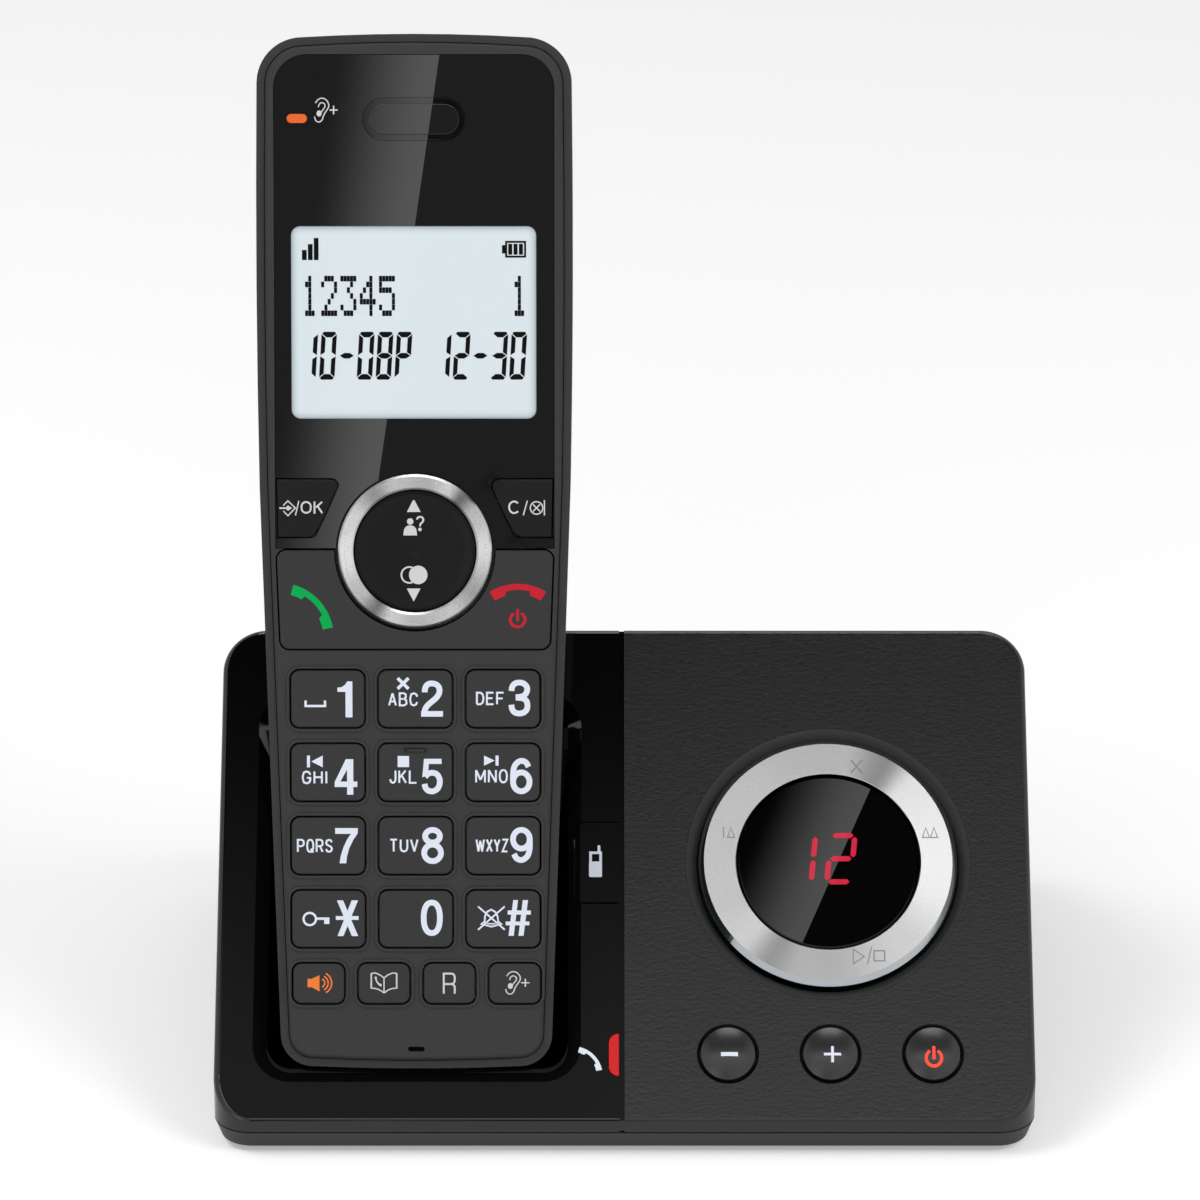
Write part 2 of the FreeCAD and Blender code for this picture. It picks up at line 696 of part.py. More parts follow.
def grille_slots():
    """Parallel slots whose lengths fill the loudspeaker's circle."""
    slots = []
    for number in range(SIZES["grille_slots"]):
        offset = S.grille_pitch * (number - (SIZES["grille_slots"] - 1) / 2)
        half = root(S.speaker_radius * S.speaker_radius - offset * offset)
        slots.append(box("grille_%d" % number, desk, dial_x - half, dial_x + half,
                         speaker_y + offset - S.grille_slot / 2,
                         speaker_y + offset + S.grille_slot / 2, -PAST,
                         tray_floor + PAST))
    return slots


def speaker_ring():
    """Raised ring round the loudspeaker."""
    inside, outside = S.speaker_radius + S.jack_gap, S.speaker_radius + S.lip_thickness
    low, high = tray_floor - S.shell_floor / 3, tray_floor + S.lip_height
    return turned("speaker_ring", desk.shift(dial_x, speaker_y),
                  [(inside, low), (outside, low), (outside, high), (inside, high)])


def base_lower_shell():
    """Shallow tray with a drafted edge, a plinth, ribs that locate the covers and a grille."""
    body = new_body("lower_tray", desk)
    sketch = new_sketch(body, "XY_Plane", S.shell_top)
    draw(sketch, shell_outline(as_dim(0)))
    pad(body, sketch, S.shell_top - S.shell_bottom, taper=-S.shell_draft, down=True)
    sketch = new_sketch(body, "XY_Plane", S.shell_top)
    draw(sketch, shell_outline(S.cover_wall))
    pocket(body, sketch, S.shell_top - tray_floor)
    plinth = block("plinth", desk, rounded(-plinth_half, plinth_half, S.plinth_front,
                                           plinth_back, S.foot_width / 4),
                   S.plinth_bottom, S.shell_bottom + S.shell_floor / 2)
    cutters = grille_slots()
    for number, (x, y) in enumerate(foot_places(), start=1):
        cutters.append(box("foot_recess_%d" % number, desk, x, x + S.foot_width, y,
                           y + S.foot_length, -PAST, S.foot_thickness))
    for number, (x, y) in enumerate(screw_places(), start=1):
        cutters.append(rod("case_hole_%d" % number, desk, x, y, 0, S.shell_top,
                           S.screw_radius + S.screw_slack))
        cutters.append(rod("case_head_%d" % number, desk, x, y, 0,
                           S.shell_bottom + S.head_height / 2, S.head_radius + S.screw_slack))
    full = fuse("tray_with_ribs", body, plinth, speaker_ring(), *tray_lips(), *board_stands())
    node("base_lower_shell", cut("base_lower_shell", full, *cutters))


def rubber_feet():
    feet = [block("foot_%d" % number, desk,
                  rounded(x + 0.05, x + S.foot_width - 0.05, y + 0.05,
                          y + S.foot_length - 0.05, S.foot_width / 8),
                  0, S.foot_thickness)
            for number, (x, y) in enumerate(foot_places(), start=1)]
    node("rubber_feet", group("rubber_feet", feet))


def screw(name, frame, length, head_low):
    """Screw along its frame's Z axis: the head's outer face is at level head_low."""
    return turned(name, frame, [
        (0, head_low + S.head_height * 0.6), (S.head_radius * 0.5, head_low + S.head_height * 0.6),
        (S.head_radius * 0.5, head_low), (S.head_radius, head_low),
        (S.head_radius, head_low + S.head_height), (S.screw_radius, head_low + S.head_height),
        (S.screw_radius, head_low + length), (0, head_low + length)])


def base_screws():
    low = S.shell_bottom - S.head_height / 2
    node("base_screws", group("base_screws", [
        screw("case_screw_%d" % number, desk.shift(x, y), S.screw_length, low)
        for number, (x, y) in enumerate(screw_places(), start=1)]))


# ---------------------------------------------------------------- base: dial and buttons
def dial_frame(x=0, v=0, z=0):
    return panel.shift(dial_x + x, S.dial_v + v, z)


def dial_ring():
    bevel = S.ring_radius - S.ring_face
    node("dial_ring", turned("dial_ring", dial_frame(), [
        (S.ring_bore, -S.ring_depth), (S.ring_radius, -S.ring_depth),
        (S.ring_radius, S.ring_proud - bevel), (S.ring_face, S.ring_proud),
        (S.ring_bore + bevel / 2, S.ring_proud), (S.ring_bore, S.ring_proud - bevel / 2)]))


def dial_pad():
    """Rubber ring that the dial rocks on."""
    top = -(S.ring_depth + S.pad_gap)
    node("dial_pad", turned("dial_pad", dial_frame(), [
        (S.pad_inner, -S.pad_bottom), (S.pad_outer - 1, -S.pad_bottom),
        (S.pad_outer, top), (S.pad_inner, top)]))


def display_lens():
    top, low = S.dial_lens_proud, S.dial_lens_proud - S.dial_lens_thickness
    rim = S.button_rim
    node("display_lens", turned("display_lens", dial_frame(), [
        (0, low), (S.dial_lens_radius, low), (S.dial_lens_radius, top - rim),
        (S.dial_lens_radius - rim, top), (0, top)]))


def led_display():
    """Round case of the two-digit display, from its board up to the lens."""
    node("led_display", turned("led_display", dial_frame(), [
        (0, -S.board_depth), (S.digit_case_radius, -S.board_depth),
        (S.digit_case_radius, S.dial_lens_proud - S.dial_lens_thickness),
        (0, S.dial_lens_proud - S.dial_lens_thickness)]))


def round_button(label, x):
    """Domed cap over a flange that keeps it under the panel."""
    flange_top = -(S.cover_wall + S.flange_gap)
    dome = arc_radius(S.button_radius * 2, S.button_dome)
    crown = S.button_rim + S.button_dome
    node(label, turned(label, panel.shift(x, S.button_v), [
        (0, -S.button_bottom), (S.button_radius - 1, -S.button_bottom),
        (S.button_radius - 1, flange_top - S.flange_thickness),
        (S.button_flange, flange_top - S.flange_thickness), (S.button_flange, flange_top),
        (S.button_radius, flange_top), (S.button_radius, S.button_rim, dome), (0, crown)]))


def page_button():
    """Cap beside the pocket. Its left edge follows the pocket's bevel."""
    full = block("page_cap", panel, page_outline(as_dim(0)), -S.button_bottom, S.page_proud)
    bevel_x = dock_x + S.pocket_half + S.pocket_bevel - S.page_proud
    slant = new_body("page_bevel", panel)
    sketch = new_sketch(slant, "XZ_Plane", -(S.page_high + 5))
    top = S.page_proud + 2
    low = -S.pocket_bevel * 2
    draw(sketch, [(bevel_x + low, low + S.page_proud), (bevel_x + 2, top),
                  (bevel_x + low, top)])
    pad(slant, sketch, S.page_high - S.page_low + 10)
    stem = box("page_stem", panel, page_left + S.pocket_bevel, left_of_seam - S.page_gap,
               S.page_low - 1, S.page_high + 1, -S.button_bottom,
               -(S.cover_wall + S.flange_gap))
    node("page_button", cut("page_button", fuse("page_solid", full, stem), slant))


def message_light():
    node("message_light", block("message_light", panel, light_outline(as_dim(0)),
                                -S.board_depth, S.page_proud))


# ---------------------------------------------------------------- base: boards and sockets
def panel_board():
    """Board under the panel, with the page button's switch and clearance for the posts."""
    low = -(S.board_depth + S.board_thickness)
    board = block("panel_board_plate", panel,
                  rounded(panel_board_left, panel_board_right, S.panel_board_low,
                          S.panel_board_high, 1.5), low, -S.board_depth)
    middle = (S.page_low + S.page_high) / 2
    switch = box("page_switch", panel, page_left + S.pocket_bevel + S.switch_gap,
                 left_of_seam - S.switch_gap, middle - S.switch_half, middle + S.switch_half,
                 -S.board_depth - S.switch_gap, -S.mat_depth)
    chip = box("panel_chip", panel, dial_x - S.chip_width / 2, dial_x + S.chip_width / 2,
               S.dial_v + S.digit_case_radius, S.dial_v + S.digit_case_radius + S.chip_length,
               low - S.chip_height, low + S.board_thickness / 2)
    node("panel_board", fuse("panel_board", board, switch, chip))


def button_mat():
    """Rubber mat with a dome under each round button."""
    left = right_of_seam + S.button_mat_inset
    right = base_half - S.front_screw_inset - S.boss_radius - S.button_mat_gap
    plate = block("button_mat_plate", panel,
                  rounded(left, right, S.mat_low, S.mat_high, S.sheet_corner),
                  -S.board_depth, S.sheet_thickness - S.board_depth)
    foot = S.dome_sink - S.board_depth
    domes = [turned("mat_dome_%d" % i, panel.shift(x, S.button_v), [
        (0, foot), (S.dome_foot, foot), (S.dome_head, -S.mat_depth), (0, -S.mat_depth)])
             for i, x in enumerate(button_places(), start=1)]
    node("button_mat", fuse("button_mat", plate, *domes))


def base_board():
    """Main board on the tray, with the radio's can and a chip."""
    low, high = S.base_board_level, S.base_board_level + S.board_thickness
    middle = (low + high) / 2
    board = block("base_board_plate", desk,
                  rounded(S.base_board_left, board_right, board_front, board_back,
                          S.post_radius / 2), low, high)
    can_x, can_y = S.base_board_left + S.post_inset, board_front + S.post_radius
    can = box("radio_can", desk, can_x, can_x + S.can_width, can_y, can_y + S.can_length,
              middle, high + S.can_height)
    chip_x = board_right - S.post_inset * 2 - S.chip_width
    chip = box("line_chip", desk, chip_x, chip_x + S.chip_width, can_y, can_y + S.chip_length,
               middle, high + S.chip_height)
    rear_x = base_half - S.rear_screw_inset
    clear = rod("board_clearance", desk, rear_x, rear_screw_y, 0, high + PAST,
                S.boss_radius + S.jack_gap)
    node("base_board", cut("base_board", fuse("base_board_parts", board, can, chip), clear))


def socket(label, x, width, plug_width, plug_height):
    """Modular socket: a block on the board with a keyed cavity open to the rear."""
    low = S.base_board_level + S.board_thickness
    back = S.base_depth - S.jack_gap
    solid = block(label + "_block", desk,
                  rectangle(x - width / 2, x + width / 2, back - S.jack_depth, back),
                  low, low + S.jack_height)
    floor = low + S.plug_rise
    cavity = box(label + "_cavity", desk, x - plug_width / 2, x + plug_width / 2,
                 back - S.plug_depth, back + PAST, floor, floor + plug_height)
    roof = floor + plug_height
    key = box(label + "_key", desk, x - plug_width / 5, x + plug_width / 5,
              back - S.plug_depth / 2, back + PAST, roof - S.plug_key / 2, roof + S.plug_key)
    node(label, cut(label, solid, cavity, key))


def loudspeaker():
    """Small loudspeaker that faces the grille in the tray."""
    top = tray_floor + S.speaker_height
    rim = S.speaker_radius - S.basket_rim
    node("loudspeaker", turned("loudspeaker", desk.shift(dial_x, speaker_y), [
        (0, tray_floor + S.cone_depth), (S.speaker_radius / 3, tray_floor + S.basket_height),
        (rim - S.basket_rim / 3, tray_floor + S.basket_rim / 2), (rim, tray_floor),
        (S.speaker_radius, tray_floor), (S.speaker_radius, tray_floor + S.basket_height),
        (S.magnet_radius, tray_floor + S.basket_height * 2), (S.magnet_radius, top), (0, top)]))


# ---------------------------------------------------------------- base: charge pins
def charge_pin_hole(name, side):
    x = S.strip_x * side
    half, depth = S.pin_half + S.pin_gap, S.pin_height + S.pin_gap
    return box(name, dock, x - half, x + half, -(S.seat_gap + S.pocket_wall + 2), 2,
               -S.strip_depth - depth, -S.strip_depth + depth)


def charge_pins():
    """Two sprung pins through the pocket's floor, each with a flange under it."""
    pins = []
    top = S.strip_recess - S.seat_gap
    floor = -(S.seat_gap + S.pocket_wall)
    for name, side in (("charge_pin_left", -1), ("charge_pin_right", 1)):
        x = S.strip_x * side
        blade = box(name + "_blade", dock, x - S.pin_half, x + S.pin_half,
                    top - S.pin_length, top, -S.strip_depth - S.pin_height,
                    -S.strip_depth + S.pin_height)
        wide = S.pin_half + S.pin_flange
        flange = box(name + "_flange", dock, x - wide, x + wide, floor - 1.1, floor - 0.3,
                     -S.strip_depth - S.pin_height - S.pin_flange,
                     -S.strip_depth + S.pin_height + S.pin_flange)
        pins.append(fuse(name, blade, flange))
    node("charge_pins", group("charge_pins", pins))


# ---------------------------------------------------------------- handset: forms
def phone_outline(inset):
    """Outline on the face: a straight taper, slightly bowed upper sides and ends."""
    low, high = S.bottom_sag + inset, S.handset_length - S.top_sag - inset
    bottom, shoulder, top = S.bottom_half - inset, S.shoulder_half - inset, S.top_half - inset
    bow = arc_radius(high - S.shoulder_y, S.side_sag)
    return [(-bottom, low, arc_radius(bottom * 2, S.bottom_sag)), (bottom, low),
            (shoulder, S.shoulder_y, bow), (top, high, arc_radius(top * 2, S.top_sag)),
            (-top, high, bow), (-shoulder, S.shoulder_y)]


def phone_prism(label, inset, low, high):
    """Upright prism on the handset's outline, with its four round corners."""
    body = new_body(label, dock)
    made = prism(body, phone_outline(inset), low, high)
    middle = SIZES["shoulder_y"] / 2
    made = smooth(body, made, "Fillet", S.bottom_corner - inset,
                  lambda e: upright(e) and e.BoundBox.YMax < middle)
    smooth(body, made, "Fillet", S.top_corner - inset,
           lambda e: upright(e) and e.BoundBox.YMin > SIZES["shoulder_y"] + middle)
    return body


def back_sections(inset):
    """Distance along the handset, half width and depth where the back's shape changes."""
    fall, rise = tan(S.heel_taper), tan(S.top_taper)
    heel = S.heel_radius * (1 - sin(S.heel_taper))
    heel_depth = S.heel_depth + S.heel_radius * cos(S.heel_taper)
    flat = heel + (S.handset_thickness - heel_depth) / fall
    depth = S.handset_thickness - inset
    spread = (S.shoulder_half - S.bottom_half) / S.shoulder_y
    return [(as_dim(-3), S.bottom_half - spread * 3, depth - (flat + 3) * fall),
            (flat, S.bottom_half + spread * flat, depth),
            (S.shoulder_y, S.shoulder_half, depth),
            (S.top_taper_y, S.top_half + S.side_sag, depth),
            (S.handset_length + 3, S.top_half,
             depth - (S.handset_length + 3 - S.top_taper_y) * rise)]


def back_loft(label, inset):
    """The tapering back with its long edges rounded."""
    body = new_body(label, dock)
    sketches = []
    for y, half, depth in back_sections(inset):
        half = half - inset + S.blend
        corner = S.back_round - inset / 2
        sketch = new_sketch(body, "XZ_Plane", -y)
        draw(sketch, [(-half, 2), (-half, corner - depth, corner), (corner - half, -depth),
                      (half - corner, -depth, corner), (half, corner - depth), (half, 2)])
        sketches.append(sketch)
    loft = body.newObject("PartDesign::AdditiveLoft", label + "_loft")
    loft.Profile = sketches[0]
    loft.Sections = [(sketch, [""]) for sketch in sketches[1:]]
    loft.Ruled = True
    return body


def end_profile(label, inset):
    """Side view of the handset with its round heel and crown."""
    heel = S.heel_radius + S.blend - inset
    turn_y = S.heel_radius - heel * sin(S.heel_taper)
    turn_z = -(S.heel_depth + heel * cos(S.heel_taper))
    deep = -(S.handset_thickness + 5)
    end = S.handset_length + S.blend - inset
    crown = S.crown_radius - inset / 2
    crown_y = end - crown
    crown_z = (crown_y - S.top_taper_y) * tan(S.top_taper) - S.handset_thickness + inset - S.blend
    body = new_body(label, dock)
    side_prism(body, [(inset - S.blend, 5), (inset - S.blend, -S.heel_depth, heel),
                      (turn_y, turn_z),
                      (turn_y + (turn_z - deep) / tan(S.heel_taper), deep),
                      (crown_y, deep), (crown_y, crown_z, crown), (end, crown_z + crown),
                      (end, 5)], S.top_half * -2, S.top_half * 2)
    return body


def phone_form(label, inset, top):
    low = -(S.handset_thickness + 1)
    return common(label, phone_prism(label + "_outline", inset, low, top),
                  back_loft(label + "_back", inset), end_profile(label + "_ends", inset))


def phone_screw_places():
    top = S.handset_length - S.phone_screw_from_top
    return [(side * x, y) for x, y in ((S.phone_screw_top_x, top),
                                       (S.phone_screw_low_x, S.phone_screw_low))
            for side in (-1, 1)]


# ---------------------------------------------------------------- handset: outlines of fronts
screen_high = S.handset_length - S.screen_from_top
ear_y = S.handset_length - S.ear_from_top
led_y = S.handset_length - S.led_from_top


def window_outline(grow):
    half, corner = S.window_half + grow, S.window_corner + grow
    low, high = S.window_low - grow, S.handset_length - S.window_from_top + grow
    return [(-half, low), (half, low), (half, high - corner, corner), (half - corner, high),
            (corner - half, high, corner), (-half, high - corner)]


def soft_outline(side, grow, spill=0):
    """Key between the window's edge and the navigation ring. spill widens its outer side."""
    low, high = S.soft_low - grow, S.soft_high + grow
    points = [(-(S.soft_out_high + grow + spill), high), (-(S.soft_out_low + grow + spill), low),
              (grow - S.soft_edge_low, low), (grow - S.soft_edge_mid, S.soft_mid),
              (grow - S.soft_edge_high, high)]
    return points if side < 0 else [(-x, y) for x, y in reversed(points)]


def talk_outline(grow):
    low, high = S.talk_low - grow, S.talk_high + grow
    return [(-(S.talk_half_low + grow), low), (S.talk_half_low + grow, low),
            (S.talk_half_high + grow, high), (-(S.talk_half_high + grow), high)]


def talk_shape(label, grow, low, high, edge=None):
    body = new_body(label, dock)
    made = prism(body, talk_outline(grow), low, high)
    made = smooth(body, made, "Fillet", S.talk_corner + grow, upright)
    if edge is not None:
        smooth(body, made, "Fillet", edge, flat_at(high))
    sketch = new_sketch(body, "XY_Plane", high)
    draw_circle(sketch, 0, S.nav_y, S.talk_notch - grow)
    pocket(body, sketch, as_dim(high) - low)
    return body


def key_rows():
    """Label, place and size of each rectangular key."""
    names = [["key_star", "key_0", "key_hash"]]
    names += [["key_%d" % (first + i) for i in range(3)] for first in (7, 4, 1)]
    keys = []
    for row, labels in enumerate(names):
        for column, label in enumerate(labels):
            keys.append((label, S.column_pitch * (column - 1),
                         S.bottom_row + S.row_pitch * row, S.key_width, S.key_height))
    for column, label in enumerate(["speaker_key", "phonebook_key", "recall_key",
                                    "boost_key"]):
        keys.append((label, S.function_x + S.function_pitch * (column - 1.5),
                     S.function_row, S.function_width, S.function_height))
    return keys


def around(x, y, width, height, grow=0):
    half, rise = width / 2 + grow, height / 2 + grow
    return x - half, x + half, y - rise, y + rise


# ---------------------------------------------------------------- handset: shells
def handset_front_shell():
    """Face plate with a thin skirt, the openings for its keys and window, and bosses."""
    inset = S.rim_width + S.rim_gap
    plate = phone_prism("face_plate", inset, -S.face_skirt, 0)
    rounded_plate = plate.Tip
    smooth(plate, rounded_plate, "Fillet", S.face_round, flat_at(0))
    hollow = phone_prism("face_hollow", inset + S.skirt_wall, -S.face_skirt - 1,
                         -S.face_thickness)
    shell = cut("face_shell", plate, hollow)
    bosses = [rod("face_boss_%d" % i, dock, x, y, -S.phone_boss_split, -1.6, S.phone_boss)
              for i, (x, y) in enumerate(phone_screw_places(), start=1)]
    ring = rod("nav_seat", dock, 0, S.nav_y, -S.key_skirt, -S.nav_seat - 0.2, S.nav_hole)
    through = (-S.face_skirt - 1, 2)
    holes = [block("window_recess", dock, window_outline(S.window_gap),
                   -S.window_thickness - S.window_gap, 2),
             block("screen_opening", dock,
                   rounded(S.screen_x - S.screen_half - 0.4, S.screen_x + S.screen_half + 0.4,
                           S.screen_low - 0.4, screen_high + 0.4, S.screen_corner),
                   *through),
             block("ear_opening", dock, slot(0, ear_y, S.ear_half, S.ear_radius), *through),
             block("led_opening", dock, slot(S.led_x, led_y, S.led_half, S.led_radius),
                   *through),
             block("mic_opening", dock, slot(0, S.mic_y, S.mic_half, S.mic_slot), *through),
             rod("nav_recess", dock, 0, S.nav_y, -S.nav_seat, 2, S.nav_hole),
             rod("nav_through", dock, 0, S.nav_y, -S.face_skirt - 1, 2, S.nav_bore),
             talk_shape("talk_opening", S.talk_gap, *through)]
    for side, name in ((-1, "left"), (1, "right")):
        holes.append(block("soft_opening_" + name, dock, soft_outline(side, S.soft_gap),
                           *through))
    for label, x, y, width, height in key_rows():
        sides = around(x, y, width, height, S.key_gap)
        holes.append(block(label + "_opening", dock,
                           rounded(*sides, S.key_corner + S.key_gap), *through))
    for i, (x, y) in enumerate(phone_screw_places(), start=1):
        holes.append(rod("face_hole_%d" % i, dock, x, y, -S.phone_boss_split - 1,
                         -S.phone_head_depth + S.phone_screw_length + 0.5, S.screw_radius))
    node("handset_front_shell", cut("handset_front_shell",
                                    fuse("face_with_bosses", shell, ring, *bosses), *holes))


cell_z = S.door_thickness + S.cell_gap + S.cell_radius - S.handset_thickness
bay_low = S.door_low + S.door_ledge
bay_high = bay_low + S.cell_length + S.bay_margin * 2
bay_half = S.cell_pitch / 2 + S.cell_radius + S.cell_gap
bay_front = cell_z + S.cell_radius + S.cell_gap
door_inside = S.door_thickness + S.door_gap - S.handset_thickness


def door_outline(grow):
    half = S.door_half + grow
    return rounded(-half, half, S.door_low - grow, S.door_high + grow,
                   S.door_corner + grow)


def sounder_slots():
    """Sound slots in the back whose lengths fill a circle."""
    slots = []
    for i in range(SIZES["sounder_slots"]):
        offset = S.sounder_pitch * (i - (SIZES["sounder_slots"] - 1) / 2)
        half = root(S.sounder_radius * S.sounder_radius - offset * offset)
        slots.append(block("sounder_slot_%d" % i, dock,
                           slot(0, S.sounder_y + offset, half, S.sounder_slot),
                           -(S.handset_thickness + PAST),
                           -(S.handset_thickness - S.rear_wall - PAST)))
    return slots


def handset_rear_shell():
    """Tub with the battery bay, screw bosses, a slotted sounder and the charge windows."""
    outer = phone_form("tub_outside", as_dim(0), -S.rim_depth)
    inner = phone_form("tub_inside", S.rear_wall, as_dim(1))
    rebate = phone_prism("tub_rebate", S.rim_width, -S.face_skirt - S.rim_gap, 2)
    frame = block("bay_frame", dock,
                  rectangle(-(S.door_half + S.bay_wall), S.door_half + S.bay_wall,
                            S.door_low - S.bay_wall, S.door_high + S.bay_wall),
                  -(S.handset_thickness - 0.5), S.bay_wall * 1.5 + door_inside)
    walls = block("bay_walls", dock,
                  rectangle(-(bay_half + S.bay_wall), bay_half + S.bay_wall,
                            bay_low - S.bay_wall, bay_high + S.bay_wall),
                  door_inside, bay_front + S.bay_wall)
    bosses = []
    cutters = [rebate, block("bay_space", dock, rectangle(-bay_half, bay_half, bay_low, bay_high),
                             -(S.handset_thickness + 1), bay_front),
               block("door_recess", dock, door_outline(S.door_gap),
                     -(S.handset_thickness + 1), door_inside)]
    for i, (x, y) in enumerate(phone_screw_places(), start=1):
        pillar = rod("tub_boss_%d" % i, dock, x, y, -S.handset_thickness,
                     -(S.phone_boss_split + S.rim_gap), S.phone_boss + 0.4)
        bosses.append(pillar)
        cutters.append(rod("tub_hole_%d" % i, dock, x, y, -S.handset_thickness - 1,
                           -S.phone_boss_split + 1, S.screw_radius + S.screw_slack))
        cutters.append(rod("tub_head_%d" % i, dock, x, y, -S.handset_thickness - 1,
                           -S.phone_head_depth, S.head_radius + S.screw_slack))
    cutters += sounder_slots()
    for side, name in ((-1, "left"), (1, "right")):
        x = S.strip_x * side
        half, rise = S.strip_half + S.screw_slack, S.strip_height + S.screw_slack
        cutters.append(box("charge_window_" + name, dock, x - half, x + half, -2,
                           S.rear_wall + 1, -S.strip_depth - rise, -S.strip_depth + rise))
    inside = common("tub_fittings", fuse("tub_fitting_parts", frame, walls, *bosses), outer)
    hollow = cut("tub_walls", outer, inner)
    node("handset_rear_shell", cut("handset_rear_shell",
                                   fuse("tub_with_fittings", hollow, inside), *cutters))


def battery_door():
    """Lid of the battery bay, with a finger grip near its upper end."""
    body = new_body("battery_door_plate", dock)
    made = prism(body, door_outline(as_dim(0)), -S.handset_thickness,
                 S.door_thickness - S.handset_thickness)
    smooth(body, made, "Fillet", 0.3, flat_at(-S.handset_thickness))
    grips = [block("door_grip_%d" % i, dock,
                   slot(0, S.door_high - 5 - i * 1.8, S.grip_width / 2, as_dim(0.5)),
                   -S.handset_thickness - 1, 0.4 - S.handset_thickness) for i in range(4)]
    node("battery_door", cut("battery_door", body, *grips))


def batteries():
    """Two cells side by side, pointing opposite ways."""
    nub, rise = S.cell_radius * 0.38, S.cell_length - 1
    profile = [(0, 0), (S.cell_radius - 0.4, 0), (S.cell_radius, 0.4), (S.cell_radius, rise - 0.4),
               (S.cell_radius - 0.4, rise), (nub, rise), (nub, S.cell_length),
               (0, S.cell_length)]
    low, high = bay_low + S.bay_margin, bay_high - S.bay_margin
    left = turned("cell_left", dock.shift(-S.cell_pitch / 2, low, cell_z).turn(-90), profile)
    right = turned("cell_right", dock.shift(S.cell_pitch / 2, high, cell_z).turn(90), profile)
    node("batteries", group("batteries", [left, right]))


def battery_contacts():
    """A plate with a tapered spring at each end of each cell."""
    contacts = []
    reach = S.bay_margin - 0.05
    places = [(bay_low, -90), (bay_high, 90)]
    for end, (y, angle) in enumerate(places):
        for side in (-1, 1):
            name = "contact_%d_%d" % (end, (side + 1) / 2)
            frame = dock.shift(S.cell_pitch / 2 * side, y, cell_z).turn(angle)
            contacts.append(turned(name, frame, [
                (0, 0), (S.contact_half, 0), (S.contact_half, S.contact_thickness),
                (S.contact_half * 0.75, S.contact_thickness), (S.contact_half * 0.4, reach),
                (0, reach)]))
    node("battery_contacts", group("battery_contacts", contacts))


def charge_strips():
    strips = []
    for side, name in ((-1, "left"), (1, "right")):
        x = S.strip_x * side
        inside = S.rear_wall + S.bottom_sag / 2
        face = box("strip_face_" + name, dock, x - S.strip_half, x + S.strip_half,
                   S.strip_recess, inside + 0.5, -S.strip_depth - S.strip_height,
                   -S.strip_depth + S.strip_height)
        half, rise = S.strip_half + S.strip_flange, S.strip_height + S.strip_flange
        back = box("strip_back_" + name, dock, x - half, x + half, inside,
                   inside + S.strip_flange, -S.strip_depth - rise, -S.strip_depth + rise)
        strips.append(fuse("charge_strip_" + name, face, back))
    node("charge_strips", group("charge_strips", strips))


def handset_screws():
    node("handset_screws", group("handset_screws", [
        screw("phone_screw_%d" % i, dock.shift(x, y), S.phone_screw_length + S.head_height,
              -S.phone_head_depth - S.head_height)
        for i, (x, y) in enumerate(phone_screw_places(), start=1)]))


# ---------------------------------------------------------------- handset: front pieces
def display_window():
    """Gloss window over the display, cut round the soft keys and the navigation ring."""
    body = block("window_plate", dock, window_outline(as_dim(0)), -S.window_thickness, 0)
    through = (-S.window_thickness - PAST, PAST)
    cutters = [rod("window_nav", dock, 0, S.nav_y, *through, S.nav_hole),
               block("window_ear", dock, slot(0, ear_y, S.ear_half, S.ear_radius), *through),
               block("window_led", dock, slot(S.led_x, led_y, S.led_half, S.led_radius),
                     *through)]
    for side, name in ((-1, "left"), (1, "right")):
        cutters.append(block("window_soft_" + name, dock,
                             soft_outline(side, S.soft_gap, spill=1), *through))
    node("display_window", cut("display_window", body, *cutters))


def lcd_module():
    """Display cell on its frame: the raised glass fills the front shell's opening."""
    board_top = -(S.mat_top + S.mat_thickness)
    frame = block("lcd_frame", dock, rectangle(-S.lcd_half, S.lcd_half, S.lcd_low,
                                               screen_high + S.lcd_margin),
                  board_top, -S.lcd_top)
    glass = block("lcd_glass", dock,
                  rounded(S.screen_x - S.screen_half, S.screen_x + S.screen_half,
                          S.screen_low, screen_high, S.screen_corner),
                  -S.lcd_top - 0.2, -S.window_thickness - 0.15)
    node("lcd_module", fuse("lcd_module", frame, glass))


def earpiece_insert():
    """Oval insert with a sunk floor and a row of sound holes."""
    outside = block("ear_outside", dock,
                    slot(0, ear_y, S.ear_half - S.insert_gap, S.ear_radius - S.insert_gap),
                    -S.ear_thickness, S.insert_proud)
    sunk = block("ear_sunk", dock,
                 slot(0, ear_y, S.ear_half - S.ear_radius + S.ear_inner, S.ear_inner),
                 -S.ear_floor, PAST)
    holes = [rod("ear_hole_%d" % i, dock,
                 S.ear_hole_pitch * (i - (SIZES["ear_holes"] - 1) / 2), ear_y,
                 -S.ear_thickness - PAST, PAST, S.ear_hole_radius)
             for i in range(SIZES["ear_holes"])]
    node("earpiece_insert", cut("earpiece_insert", outside, sunk, *holes))


def earpiece_speaker():
    top = -S.face_thickness - S.key_gap
    node("earpiece_speaker", turned("earpiece_speaker", dock.shift(0, ear_y), [
        (0, top - S.ear_speaker_height), (S.ear_speaker_radius * 0.7, top - S.ear_speaker_height),
        (S.ear_speaker_radius, top - 1.6), (S.ear_speaker_radius, top), (0, top)]))


def microphone():
    top = -S.face_thickness - 0.1
    node("microphone", turned("microphone", dock.shift(0, S.mic_y + S.mic_radius - 0.7), [
        (0, top - S.mic_height), (S.mic_radius, top - S.mic_height), (S.mic_radius, top),
        (0, top)]))


